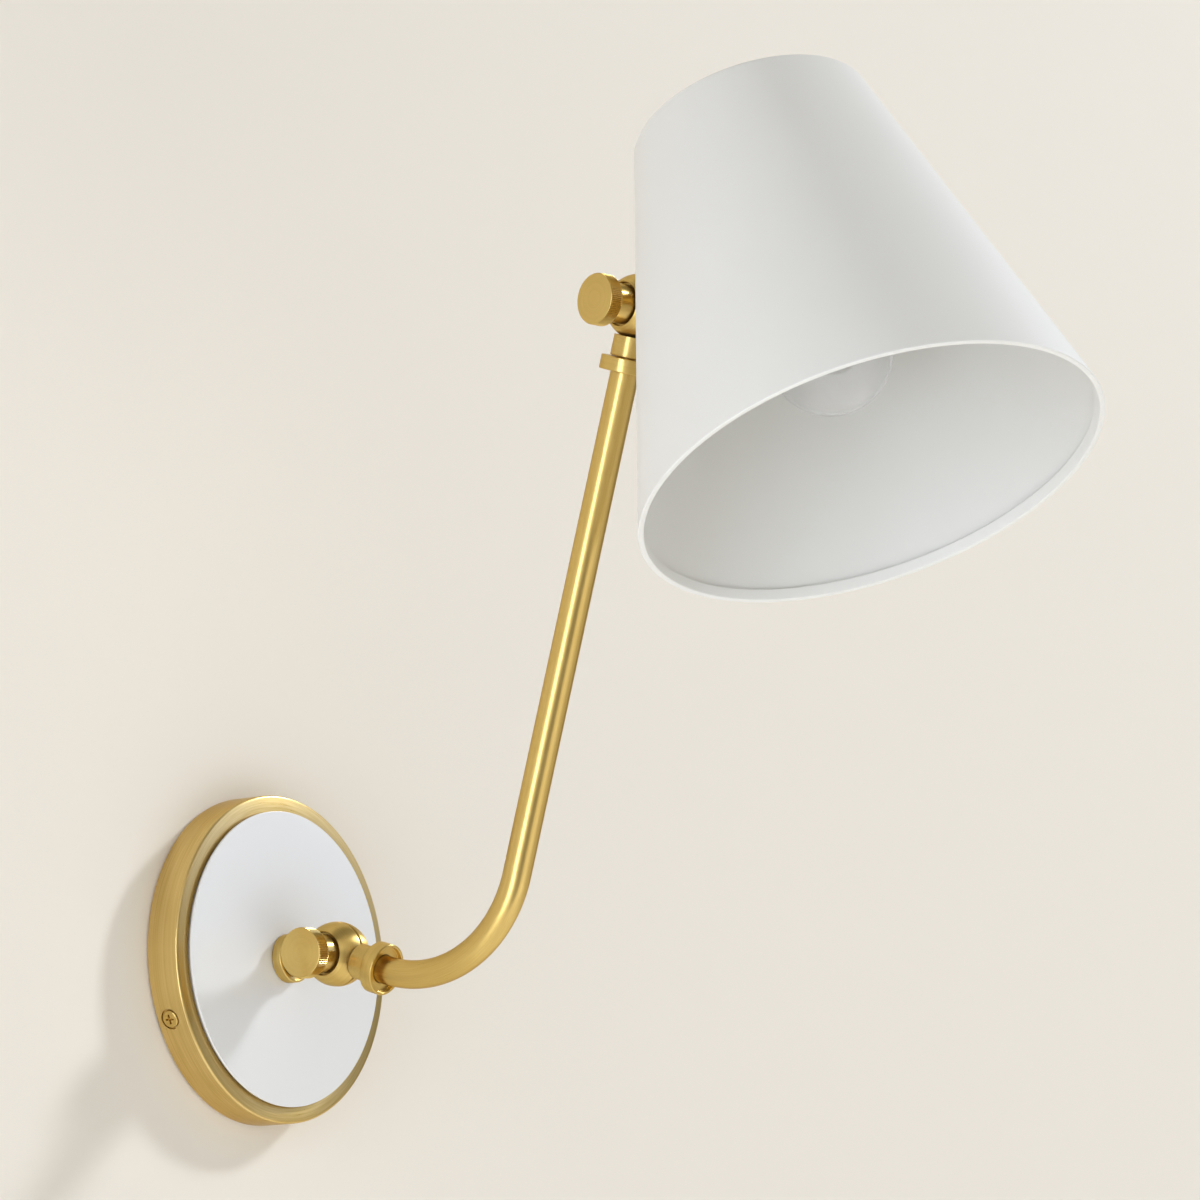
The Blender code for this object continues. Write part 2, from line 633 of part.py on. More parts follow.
def socket_parts(rim):
    """Lamp holder under the bracket, on the shade's axis."""
    top = BRACKET_LEVEL - MM - GAP
    nipple = ring(NIPPLE_R - NIPPLE_WALL, NIPPLE_R, top - 8 * MM, BRACKET_LEVEL + 6 * MM, 0.4 * MM)
    place("socket_nipple", turned("socket_nipple", nipple, 16), steel("socket_nipple"), rim)
    hex_nut("socket_nut", BRACKET_LEVEL + 1.3 * MM, BRACKET_LEVEL + 4.5 * MM, "Z", rim)
    shell_r = 17.5 * MM
    foot = top - 19 * MM
    cap = [
        (NIPPLE_R + GAP, top), (9 * MM, top), (15 * MM, top - 5 * MM), (shell_r, top - 11 * MM),
        (shell_r, foot), (shell_r - 1.2 * MM, foot), (shell_r - 1.2 * MM, top - 11 * MM),
        (14 * MM, top - 6 * MM), (8.6 * MM, top - 1.4 * MM), (NIPPLE_R + GAP, top - 1.4 * MM),
    ]
    place("socket_cap", turned("socket_cap", cap, 20), material("socket_cap", WHITE, 0.45), rim)
    mouth = BULB_LEVEL + 35 * MM
    shell = ring(shell_r - 1.2 * MM, shell_r, mouth, foot - GAP)
    place("socket_shell", turned("socket_shell", shell, 20), material("socket_shell", WHITE, 0.45), rim)
    core_r = shell_r - 1.6 * MM
    floor = BULB_LEVEL + 59.5 * MM
    core = [
        (core_r, mouth + MM), (core_r, floor + 4 * MM), (2 * MM, floor + 4 * MM), (2 * MM, floor),
        (13.8 * MM, floor), (13.8 * MM, mouth + MM),
    ]
    place("socket_core", turned("socket_core", core, 20), material("socket_core", FIBRE, 0.5), rim)
    contact = [
        (0, floor - 1.2 * MM), (5 * MM, floor - 1.2 * MM), (5 * MM, floor - GAP), (1.6 * MM, floor - GAP),
        (1.6 * MM, floor + 5.5 * MM), (0, floor + 5.5 * MM),
    ]
    place("socket_contact", turned("socket_contact", contact, 12), brass("socket_contact"), rim)


def bulb_parts(rim):
    """Clear globe on a screw base, with its stem and filament inside."""
    wall = 0.8 * MM
    neck_r = 12.4 * MM
    neck_top = 31 * MM
    meet = 52  # degrees up the globe at which the neck leaves it
    steps = 7
    outer = arc((0, 0), BULB_R, -90, meet, steps)
    inner = arc((0, 0), BULB_R - wall, meet, -90, steps)
    outline = [*outer, (neck_r, neck_top - 4 * MM), (neck_r, neck_top), (neck_r - wall, neck_top),
               (neck_r - wall, neck_top - 4 * MM), *inner]
    here = (0, 0, BULB_LEVEL)
    clear = material("bulb_glass", (1, 1, 1), 0.02, transmission=1.0)
    place("bulb_glass", turned("bulb_glass", outline, 24), clear, rim, here)
    base = [
        (0, neck_top + GAP), (13.1 * MM, neck_top + GAP), (13.1 * MM, 53 * MM), (10 * MM, 55.5 * MM),
        (5 * MM, 57 * MM), (4.4 * MM, 58 * MM), (0, 58 * MM),
    ]
    place("bulb_base", turned("bulb_base", base, 18), steel("bulb_base"), rim, here)
    stem = [
        (0, -6 * MM), (1.5 * MM, -5.5 * MM), (1.5 * MM, 10 * MM), (3.5 * MM, 20 * MM), (7 * MM, neck_top),
        (0, neck_top),
    ]
    place("bulb_stem", turned("bulb_stem", stem, 14), clear, rim, here)
    hoop = [
        (9 * MM * math.sin(a), 3.4 * MM * math.sin(2 * a), (9 * math.cos(a) - 1) * MM)
        for a in np.linspace(math.radians(20), math.radians(340), 23)
    ]
    filament = lead("bulb_filament", hoop, 0.7 * MM, (0.9, 0.6, 0.2), rim)
    filament.location = here


def socket_lead(rim):
    """Lead from the side nipple, round the bracket's edge and down into the lamp holder's nipple."""
    wall = Vector((0, side_r(STEM_LEVEL), STEM_LEVEL))
    inward = Vector((0, -math.cos(slope), -math.sin(slope)))
    marks = [
        wall + inward * 4 * MM, wall + inward * 11 * MM, wall + inward * 18 * MM,
        Vector((9, 38, 137)) * MM, Vector((14, 27, 149)) * MM, Vector((10, 14, 161)) * MM,
        Vector((2.5, 3, 165)) * MM, Vector((0, 0, 159)) * MM, Vector((0, 0, 152)) * MM,
    ]
    lead("socket_lead", through(marks, 3), 1.8 * MM, (0.8, 0.8, 0.78), rim)


def main():
    clear_scene()
    root = empty("wall_plate_axis")
    canopy_ring(root)
    canopy_disc(root)
    boss_foot = PLATE_DEPTH + DISC_PROUD + GAP
    boss_mouth = boss_foot + BOSS_FLOOR + BOSS_CUP
    cup("wall_boss", root, BOSS_R, NIPPLE_R + GAP, boss_foot, boss_mouth, BOSS_CUP, brass("wall_boss"))
    neck_end = BALL_OUT - (boss_mouth - BOSS_CUP + GAP)
    stem_nipple(root, neck_end)
    mounting_strap(root)
    for number, side in ((1, -1), (2, 1)):
        side_screw(number, side, root)
    supply_leads(root)

    swivel = empty("base_swivel_axis", root, (0, -BALL_OUT, 0))
    knuckle_half("lower_knuckle_wall_half", swivel, True, neck_end, rotation=180)
    friction_washer("lower_friction_washer", swivel)

    arm = empty("arm_tilt_axis", swivel, rotation=(ARM_DIP, 0, 0))
    arm_parts(arm)
    lower_knob = empty("lower_knob_axis", arm)
    thumb_screw("lower_thumb_screw", lower_knob)
    spring_washer("lower_spring_washer", lower_knob)

    top = (0, -TUBE_RUN - BEND_R, BEND_R + UPPER_RUN)
    turn = empty("head_swivel_axis", arm, top, (0, 0, HEAD_TURN))
    neck_end = COLLAR_FROM - GAP
    knuckle_half("upper_knuckle_arm_half", turn, False, neck_end, neck_end + SPIGOT, 90)
    friction_washer("upper_friction_washer", turn)
    upper_knob = empty("upper_knob_axis", turn)
    thumb_screw("upper_thumb_screw", upper_knob)
    spring_washer("upper_spring_washer", upper_knob)

    stem = empty("shade_tilt_axis", turn, rotation=(-HEAD_LIFT, 0, 0))
    neck_end = STEM_TO_SHADE - BOSS_FLOOR - 2 * GAP
    knuckle_half("upper_knuckle_shade_half", stem, True, neck_end)
    side = side_r(STEM_LEVEL)
    rim = empty(
        "shade_rim_axis", stem,
        (0, -STEM_TO_SHADE - side * math.cos(slope) - STEM_LEVEL * math.sin(slope),
         side * math.sin(slope) - STEM_LEVEL * math.cos(slope)),
        (-math.degrees(slope), 0, 0),
    )
    shade_parts(stem, rim, neck_end)
    socket_parts(rim)
    bulb_parts(rim)
    socket_lead(rim)


if __name__ == "__main__":
    main()
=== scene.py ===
import json
import math

import bmesh
import bpy
import numpy as np
from mathutils import Matrix, Quaternion, Vector


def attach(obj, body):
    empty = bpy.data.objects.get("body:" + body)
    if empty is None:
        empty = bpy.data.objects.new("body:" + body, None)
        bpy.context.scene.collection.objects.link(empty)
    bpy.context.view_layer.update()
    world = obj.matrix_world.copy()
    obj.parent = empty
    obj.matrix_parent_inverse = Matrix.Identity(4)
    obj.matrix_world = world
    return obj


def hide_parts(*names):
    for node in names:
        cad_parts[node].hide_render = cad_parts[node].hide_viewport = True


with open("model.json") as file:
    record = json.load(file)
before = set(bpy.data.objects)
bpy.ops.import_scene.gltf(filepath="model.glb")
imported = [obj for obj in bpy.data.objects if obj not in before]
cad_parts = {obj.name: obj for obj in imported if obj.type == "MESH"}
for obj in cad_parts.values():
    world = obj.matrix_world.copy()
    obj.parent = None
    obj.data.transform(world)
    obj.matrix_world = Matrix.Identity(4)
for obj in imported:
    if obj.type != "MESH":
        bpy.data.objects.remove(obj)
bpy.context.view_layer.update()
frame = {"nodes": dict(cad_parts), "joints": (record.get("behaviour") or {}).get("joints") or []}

scene = bpy.context.scene
scene.view_settings.view_transform = "Standard"
mm = 0.001
rad = math.radians

camera = {
    "place": (-2.16846, -1.76082, -0.17508),
    "azimuth": -54.277,  # the side of the lamp it stands on, 0 is straight out from the wall
    "elevation": -6.777,
    "roll": -2.738,
    "lens": 186.0,
    "sensor": 36.0,
}

az, el = rad(camera["azimuth"]), rad(camera["elevation"])
toCamera = Vector((math.sin(az) * math.cos(el), -math.cos(az) * math.cos(el), math.sin(el)))
lensData = bpy.data.cameras.new("camera")
lensData.lens = camera["lens"]
lensData.sensor_width = camera["sensor"]
lensData.clip_end = 50
cam = bpy.data.objects.new("camera", lensData)
cam.location = camera["place"]
cam.rotation_mode = "QUATERNION"
cam.rotation_quaternion = (-toCamera).to_track_quat("-Z", "Y") @ Quaternion((0, 0, 1), rad(camera["roll"]))
scene.collection.objects.link(cam)
scene.camera = cam
print("camera set")


def nodeMaker(tree):
    # Adds shader nodes to a tree: names of inputs set their values, other names set properties.
    def node(kind, **values):
        made = tree.nodes.new("ShaderNode" + kind)
        for key, value in values.items():
            if key in made.inputs:
                made.inputs[key].default_value = value
            else:
                setattr(made, key, value)
        return made

    return node


def newMaterial(name):
    # Empty node material with a Principled shader; returns it, a node maker and a link maker.
    mat = bpy.data.materials.new(name)
    mat.use_nodes = True
    tree = mat.node_tree
    tree.nodes.clear()
    node = nodeMaker(tree)
    shader = node("BsdfPrincipled")
    tree.links.new(shader.outputs[0], node("OutputMaterial").inputs["Surface"])
    return mat, shader, node, tree.links.new


def onObject(node, link, kind, **values):
    # A pattern on the object's own coordinates.
    pattern = node(kind, **values)
    link(node("TexCoord").outputs["Object"], pattern.inputs["Vector"])
    return pattern


def wireTone(node, link, shader, source, dark, light, span=(0.0, 1.0)):
    # Base colour from dark to light as a pattern's value crosses the span.
    tone = node("ValToRGB")
    for end, colour, spot in zip(tone.color_ramp.elements, (dark, light), span):
        end.position = spot
        end.color = (*colour, 1)
    link(source, tone.inputs["Fac"])
    link(tone.outputs["Color"], shader.inputs["Base Color"])


def wireGloss(node, link, shader, source, smooth, rough):
    # Roughness from smooth to rough with a pattern.
    gloss = node("MapRange")
    gloss.inputs["To Min"].default_value = smooth
    gloss.inputs["To Max"].default_value = rough
    link(source, gloss.inputs["Value"])
    link(gloss.outputs["Result"], shader.inputs["Roughness"])


def wireBump(node, link, shader, source, strength, depth):
    # Bump of a pattern, its depth in metres.
    bump = node("Bump", Strength=strength, Distance=depth)
    link(source, bump.inputs["Height"])
    link(bump.outputs["Normal"], shader.inputs["Normal"])


def turnedPoint(node, link, place, fine, along):
    # (radius, height, a little of x) about the frame's Z: noise on it draws lathe rings.
    local = onObject(node, link, "Mapping", vector_type="TEXTURE")
    local.inputs["Location"].default_value = place.to_translation()
    local.inputs["Rotation"].default_value = place.to_euler()
    flat = node("VectorMath", operation="MULTIPLY")
    flat.inputs[1].default_value = (1, 1, 0)
    link(local.outputs["Vector"], flat.inputs[0])
    radius = node("VectorMath", operation="LENGTH")
    link(flat.outputs[0], radius.inputs[0])
    parts = node("SeparateXYZ")
    link(local.outputs["Vector"], parts.inputs[0])
    joined = node("CombineXYZ")
    rows = ((radius.outputs["Value"], fine), (parts.outputs["Z"], fine), (parts.outputs["X"], along))
    for i, (source, scale) in enumerate(rows):
        scaled = node("Math", operation="MULTIPLY")
        scaled.inputs[1].default_value = scale
        link(source, scaled.inputs[0])
        link(scaled.outputs[0], joined.inputs[i])
    return joined.outputs[0]


def grainPoint(node, link, fine, along):
    # The piece's own grain attribute, stretched: lines run along its path.
    grain = node("Attribute", attribute_name="grain")
    stretch = node("VectorMath", operation="MULTIPLY")
    stretch.inputs[1].default_value = (fine, fine, along)
    link(grain.outputs["Vector"], stretch.inputs[0])
    return stretch.outputs[0]


brassLook = {
    "light": (0.72, 0.520, 0.175),
    "deep": (0.61, 0.415, 0.115),
    "span": (0.30, 0.68),  # where in the pattern the tones start and end
    "edge": (0.70, 0.56, 0.34),  # tint at grazing angles
    "roughness": (0.24, 0.34),
    "fine": 2600.0,  # brush lines per metre, about
    "along": 60.0,
    "cloud": 22.0,
    "cloudShare": 0.4,
    "bump": 0.10,
    "depth": 0.00002,
    "lacquer": 0.25,
    "lacquerRoughness": 0.12,
    "stretch": 0.7,
}


def brushedBrass(name, place=None, fine=brassLook["fine"], paintedSheen=0.0, duller=0.0):
    # Satin brass: brush lines in its colour, roughness and bump, over a slow tone change, and a paler light tone where
    # paintedSheen is given, a painted sheen.
    look = brassLook
    mat, shader, node, link = newMaterial(name)
    lines = node("TexNoise", Scale=1.0, Detail=3.0, Roughness=0.55)
    if place is None:
        link(grainPoint(node, link, fine, look["along"]), lines.inputs["Vector"])
    else:
        link(turnedPoint(node, link, place, fine, look["along"]), lines.inputs["Vector"])
    cloud = onObject(node, link, "TexNoise", Scale=look["cloud"], Detail=3.0, Roughness=0.5)
    both = node("Mix", data_type="FLOAT")
    both.inputs["Factor"].default_value = look["cloudShare"]
    link(lines.outputs["Fac"], both.inputs["A"])
    link(cloud.outputs["Fac"], both.inputs["B"])
    # a paintedSheen above nought pales the light tone: painted sheen standing in for brighter reflections in the brass
    light = [min(1, c + paintedSheen) for c in look["light"]]
    wireTone(node, link, shader, both.outputs["Result"], look["deep"], light, look["span"])
    smooth, rough = (value + duller for value in look["roughness"])
    wireGloss(node, link, shader, both.outputs["Result"], smooth, rough)
    wireBump(node, link, shader, lines.outputs["Fac"], look["bump"], look["depth"])
    shader.inputs["Metallic"].default_value = 1.0
    shader.inputs["Specular Tint"].default_value = (*look["edge"], 1)
    shader.inputs["Coat Weight"].default_value = look["lacquer"]
    shader.inputs["Coat Roughness"].default_value = look["lacquerRoughness"]
    if place is not None:
        # lathe lines run round the axis, so the tangent is (point - a point of the axis) x axis
        spoke = node("VectorMath", operation="SUBTRACT")
        spoke.inputs[1].default_value = place.to_translation()
        link(node("TexCoord").outputs["Object"], spoke.inputs[0])
        tangent = node("VectorMath", operation="CROSS_PRODUCT")
        tangent.inputs[1].default_value = place.to_3x3() @ Vector((0, 0, 1))
        link(spoke.outputs[0], tangent.inputs[0])
        link(tangent.outputs[0], shader.inputs["Tangent"])
        shader.inputs["Anisotropic"].default_value = look["stretch"]
        shader.inputs["Anisotropic Rotation"].default_value = 0.25  # highlights run across the lathe lines
    return mat


zincLook = {"spangle": 900.0, "cloud": 160.0, "dark": 0.72, "smooth": 0.28, "rough": 0.48, "bump": 0.15,
            "depth": 0.00003}


def zincSteel(name, colour=(0.56, 0.57, 0.58)):
    # Zinc-plated steel: faint spangle in the tone and roughness.
    look = zincLook
    mat, shader, node, link = newMaterial(name)
    spangle = onObject(node, link, "TexVoronoi", Scale=look["spangle"])
    cloud = onObject(node, link, "TexNoise", Scale=look["cloud"], Detail=4.0)
    wireTone(node, link, shader, cloud.outputs["Fac"], [look["dark"] * c for c in colour], colour)
    wireGloss(node, link, shader, spangle.outputs["Distance"], look["smooth"], look["rough"])
    wireBump(node, link, shader, cloud.outputs["Fac"], look["bump"], look["depth"])
    shader.inputs["Metallic"].default_value = 1.0
    return mat


paintLook = {"drift": 9.0, "span": (0.25, 0.75), "dark": 0.965, "spread": 0.05, "bump": 0.3}


def paint(name, colour, roughness, grain, depth, coat=0.0):
    # Sprayed coat on metal: orange peel of the given grain (per metre) and depth, with a slight tone drift.
    look = paintLook
    mat, shader, node, link = newMaterial(name)
    peel = onObject(node, link, "TexNoise", Scale=grain, Detail=2.0, Roughness=0.5).outputs["Fac"]
    drift = onObject(node, link, "TexNoise", Scale=look["drift"], Detail=2.0).outputs["Fac"]
    wireTone(node, link, shader, drift, [look["dark"] * c for c in colour], colour, look["span"])
    wireGloss(node, link, shader, peel, roughness - look["spread"], roughness + look["spread"])
    wireBump(node, link, shader, peel, look["bump"], depth)
    shader.inputs["Coat Weight"].default_value = coat
    return mat


mouldedLook = {"speck": 1800.0, "dark": 0.85, "light": 1.08, "spread": 0.12, "bump": 0.2, "depth": 0.00003}


def moulded(name, colour, roughness):
    # Moulded plastic or fibre: a fine matt texture and a slight mottle.
    look = mouldedLook
    mat, shader, node, link = newMaterial(name)
    speck = onObject(node, link, "TexNoise", Scale=look["speck"], Detail=3.0).outputs["Fac"]
    dark, light = [look["dark"] * c for c in colour], [min(1, look["light"] * c) for c in colour]
    wireTone(node, link, shader, speck, dark, light)
    wireGloss(node, link, shader, speck, roughness, roughness + look["spread"])
    wireBump(node, link, shader, speck, look["bump"], look["depth"])
    return mat


glassLook = {"tint": 0.98, "roughness": 0.02, "index": 1.46, "clear": 0.80, "wave": 45.0, "bump": 0.08,
             "depth": 0.0002}


def clearGlass(name):
    # Blown glass: clear with a little haze, and a faint waviness.
    mat, shader, node, link = newMaterial(name)
    wave = onObject(node, link, "TexNoise", Scale=glassLook["wave"], Detail=1.0)
    wireBump(node, link, shader, wave.outputs["Fac"], glassLook["bump"], glassLook["depth"])
    shader.inputs["Base Color"].default_value = (*[glassLook["tint"]] * 3, 1)
    shader.inputs["Roughness"].default_value = glassLook["roughness"]
    shader.inputs["IOR"].default_value = glassLook["index"]
    shader.inputs["Transmission Weight"].default_value = glassLook["clear"]
    return mat


# each piece is drawn about its own Z in mm, then its frame carries it to its place
joints = {joint["name"]: joint for joint in frame["joints"]}
stand = {"armDip": 18.4, "headTurn": -11.9, "headLift": 26.4}  # degrees, as the lamp stands at rest
shadeSize = {"rim": 101.4, "top": 51.6, "height": 178.0, "wall": 1.0, "fromKnuckle": 29.4, "clampLevel": 135.4}
shadeSlope = math.atan2(shadeSize["rim"] - shadeSize["top"], shadeSize["height"])


def shift(x=0.0, y=0.0, z=0.0):
    return Matrix.Translation((x * mm, y * mm, z * mm))


def turn(axis, degrees):
    return Matrix.Rotation(rad(degrees), 4, axis)


def sideR(height):
    # Outer radius of the shade, in mm, at a height above its rim.
    return shadeSize["rim"] - math.tan(shadeSlope) * height


wallFrame = Matrix.Identity(4)
lowerFrame = Matrix.Translation(joints["arm_tilt"]["pos_m"])
armFrame = lowerFrame @ turn("X", stand["armDip"])
yokeFrame = Matrix.Translation(joints["shade_tilt"]["pos_m"]) @ turn("X", stand["armDip"])
yokeFrame = yokeFrame @ turn("Z", stand["headTurn"])
stemFrame = yokeFrame @ turn("X", -stand["headLift"])
clampR, clampLevel = sideR(shadeSize["clampLevel"]), shadeSize["clampLevel"]
shadeOut = shadeSize["fromKnuckle"] + clampR * math.cos(shadeSlope) + clampLevel * math.sin(shadeSlope)
shadeUp = clampR * math.sin(shadeSlope) - clampLevel * math.cos(shadeSlope)
shadeFrame = stemFrame @ shift(0, -shadeOut, shadeUp) @ turn("X", -math.degrees(shadeSlope))
outOfWall = turn("X", 90)  # takes Z to -Y
towardKnob = turn("Y", -90)  # takes Z to -X
awayFromKnob = turn("Y", 90)


def skin(name, grid, place, mat=None, body=None, nodes=(), closedAlong=False, grain=None, sharp=32):
    # Mesh through a grid of points in mm, rows along the piece and columns round it, carried by a frame.
    # Rows that shrink to a point close as poles, and a negative volume turns the faces outwards.
    rows, columns = grid.shape[:2]
    index = np.arange(rows * columns).reshape(rows, columns)
    lower = index if closedAlong else index[:-1]
    upper = np.roll(index, -1, 0) if closedAlong else index[1:]
    faces = np.stack([lower, np.roll(lower, -1, 1), np.roll(upper, -1, 1), upper], -1).reshape(-1, 4)
    points = grid.reshape(-1, 3) * mm
    tri = points[np.concatenate([faces[:, [0, 1, 2]], faces[:, [0, 2, 3]]])]
    across = points[faces[:, 2]] - points[faces[:, 0]], points[faces[:, 3]] - points[faces[:, 1]]
    faces = faces[np.linalg.norm(np.cross(*across), axis=1) > 1e-14]  # drops faces with no area
    volume = np.einsum("ij,ij->", tri[:, 0], np.cross(tri[:, 1], tri[:, 2]))
    if volume < 0:
        faces = faces[:, ::-1]
    matrix = np.array(place)
    points = points @ matrix[:3, :3].T + matrix[:3, 3]
    mesh = bpy.data.meshes.new(name)
    mesh.from_pydata(points, [], faces)
    if grain is not None:
        layer = mesh.attributes.new("grain", "FLOAT_VECTOR", "POINT")
        layer.data.foreach_set("vector", (grain.reshape(-1, 3) * mm).astype(np.float32).ravel())
    bm = bmesh.new()
    bm.from_mesh(mesh)
    bmesh.ops.remove_doubles(bm, verts=bm.verts, dist=1e-7)
    bm.to_mesh(mesh)
    bm.free()
    return seat(name, mesh, mat, body, nodes, sharp)


def seat(name, mesh, mat, body, nodes=(), sharp=32):
    # Puts a mesh in the scene, on its body and in place of its CAD nodes; without a material it is a tool only.
    mesh.shade_smooth()
    mesh.set_sharp_from_angle(angle=rad(sharp))
    mesh.materials.clear()
    obj = bpy.data.objects.new(name, mesh)
    scene.collection.objects.link(obj)
    if mat is not None:
        mesh.materials.append(mat)
        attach(obj, body)
    if nodes:
        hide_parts(*nodes)
    return obj


def rounded(corners, steps=5):
    # Closed outline whose corners (radius, height, fillet) are arcs about points on their bisectors.
    points = []
    for i, (r, z, fillet) in enumerate(corners):
        here = np.array((r, z), float)
        if not fillet:
            points.append(here)
            continue
        back = np.array(corners[i - 1][:2]) - here
        ahead = np.array(corners[(i + 1) % len(corners)][:2]) - here
        back, ahead = back / np.linalg.norm(back), ahead / np.linalg.norm(ahead)
        half = math.acos(np.clip(back @ ahead, -1, 1)) / 2
        middle = back + ahead
        centre = here + middle / np.linalg.norm(middle) * fillet / math.sin(half)
        start, end = here + back * fillet / math.tan(half), here + ahead * fillet / math.tan(half)
        for t in np.linspace(0, 1, steps + 1):
            spoke = (start - centre) * (1 - t) + (end - centre) * t
            points.append(centre + spoke / np.linalg.norm(spoke) * fillet)
    return np.array(points)


def arcPoints(radius, start, end, steps, centre=(0.0, 0.0)):
    # (radius, height, 0) corners along an arc, angles in degrees from the radius direction.
    a = np.radians(np.linspace(start, end, steps + 1))
    return [(centre[0] + radius * math.cos(t), centre[1] + radius * math.sin(t), 0) for t in a]


def aboutAxis(r, a, z):
    # Points at radius r, angle a and height z: x = r cos a, y = r sin a.
    return np.stack(np.broadcast_arrays(r * np.cos(a), r * np.sin(a), z + 0 * a), -1)


def anglesOf(sides):
    return np.arange(sides) * math.tau / sides


def spinGrid(outline, sides):
    # Outline (radius, height) spun about Z.
    return aboutAxis(outline[:, :1], anglesOf(sides), outline[:, 1:2])


def spun(name, corners, place, mat, body, nodes=(), sides=96, sharp=32):
    # A closed outline of corners spun about the frame's Z.
    return skin(name, spinGrid(rounded(corners), sides), place, mat, body, nodes, True, None, sharp)


def acrossPath(path, normal):
    # Two unit directions across a path at each of its points, the first also at right angles to the normal.
    ahead = np.gradient(path, axis=0)
    ahead = ahead / np.linalg.norm(ahead, axis=1)[:, None]
    side = np.cross(ahead, normal)
    side = side / np.linalg.norm(side, axis=1)[:, None]
    return side, np.cross(side, ahead)


def pipe(name, path, radius, place, mat, body, nodes=(), sides=20, bore=0.0, normal=(1, 0, 0)):
    # Round tube along a path in mm: each ring lies across the path, and its ends are flat or open.
    path = np.array(path, float)
    side, over = acrossPath(path, normal)
    a = anglesOf(sides)
    run = np.concatenate([[0], np.cumsum(np.linalg.norm(np.diff(path, axis=0), axis=1))])

    def rings(r, ids):
        return path[ids][:, None] + r * (np.cos(a)[:, None] * over[ids][:, None]
                                         + np.sin(a)[:, None] * side[ids][:, None])

    order = np.arange(len(path))
    start, end = order[:1], order[-1:]
    edge = min(0.3, 0.2 * radius)
    outer = [rings(radius - edge, start), rings(radius, order), rings(radius - edge, end)]
    if bore:
        grid = np.concatenate([*outer, rings(bore, order[::-1])])
        spots = np.concatenate([start, order, end, order[::-1]])
    else:
        grid = np.concatenate([rings(0, start), *outer, rings(0, end)])
        spots = np.concatenate([start, start, order, end, end])
    grain = aboutAxis(radius, a, run[spots][:, None])
    return skin(name, grid, place, mat, body, nodes, bool(bore), grain)


def smoothRun(marks, steps):
    # Points of a smooth curve through the marks (Catmull-Rom).
    marks = np.array(marks, float)
    p = np.concatenate([[2 * marks[0] - marks[1]], marks, [2 * marks[-1] - marks[-2]]])
    t = (np.arange(steps) / steps)[None, :, None]
    a, b, c, d = (p[i:len(p) - 3 + i, None] for i in range(4))
    run = 0.5 * (2 * b + (c - a) * t + (2 * a - 5 * b + 4 * c - d) * t**2 + (3 * b - a - 3 * c + d) * t**3)
    return np.concatenate([run.reshape(-1, 3), marks[-1:]])


def toolPiece(name, corners, place, sides=96):
    # A closed outline spun about Z, to be carved or to carve with.
    return skin(name, spinGrid(rounded(corners), sides), place, closedAlong=True)


def carved(base, *steps):
    # Fuses or cuts a tool piece with others by exact Booleans, keeps the result as a mesh, drops the pieces.
    for operation, tool in steps:
        modifier = base.modifiers.new(operation, "BOOLEAN")
        modifier.operation = operation
        modifier.solver = "EXACT"
        modifier.object = tool
    graph = bpy.context.evaluated_depsgraph_get()
    mesh = bpy.data.meshes.new_from_object(base.evaluated_get(graph))
    for used in [base] + [tool for _, tool in steps]:
        bpy.data.objects.remove(used, do_unlink=True)
    return mesh


def brassOn(name, place, fine=brassLook["fine"], paintedSheen=0.0, duller=0.0):
    return brushedBrass(name + "Brass", place, fine, paintedSheen, duller)


def refinish(node, mat):
    # A node that keeps its CAD shape gets its finish here.
    for slot in frame["nodes"][node].material_slots:
        slot.material = mat


gap = 0.3  # between neighbouring pieces, in mm
nipple = {"radius": 4.8, "wall": 1.3, "pitch": 1.0, "thread": 0.42, "chamfer": 0.6, "grip": 6.0, "sides": 48}
clearHole = nipple["radius"] + gap

zinc = zincSteel("zincPlate")
greenZinc = zincSteel("greenPassivate", (0.07, 0.34, 0.13))
shadePaint = paint("shadePowder", (0.81, 0.805, 0.770), 0.60, 1500.0, 0.00003)
discPaint = paint("discEnamel", (0.79, 0.795, 0.785), 0.34, 700.0, 0.00002, 0.15)
holderPaint = paint("holderEnamel", (0.78, 0.78, 0.76), 0.42, 900.0, 0.00002)
fibre = moulded("pressedFibre", (0.09, 0.08, 0.07), 0.7)
phenolic = moulded("phenolic", (0.055, 0.045, 0.04), 0.38)
whiteSleeve = moulded("whiteSleeve", (0.74, 0.74, 0.71), 0.45)
blackSleeve = moulded("blackSleeve", (0.02, 0.02, 0.022), 0.42)
orangeCap = moulded("orangeCap", (0.78, 0.24, 0.03), 0.4)
glass = clearGlass("bulbGlass")


# a threaded tube: r = R - thread * triangle(height / pitch - angle / turn), with its ends chamfered
def threadedTube(name, low, high, place, body, node):
    bore = nipple["radius"] - nipple["wall"]
    z = np.linspace(low, high, int((high - low) / nipple["pitch"] * 6) + 1)[:, None]
    a = anglesOf(nipple["sides"])
    wave = np.abs(((z / nipple["pitch"] - a / math.tau) % 1) * 2 - 1)
    end = np.minimum(1, np.minimum(z - low, high - z) / nipple["chamfer"])
    r = nipple["radius"] - nipple["thread"] * np.where(end < 1, np.maximum(wave, 1 - end), wave)
    grid = np.concatenate([aboutAxis(r, a, z), spinGrid(np.array([(bore, high), (bore, low)]), nipple["sides"])])
    return skin(name, grid, place, zinc, body, (node,), True, sharp=50)


nut = {"flat": 7.1, "chamfer": 0.6, "coneFrom": 0.965, "coneSlope": 1.75, "boreBevel": 0.35, "sides": 96}


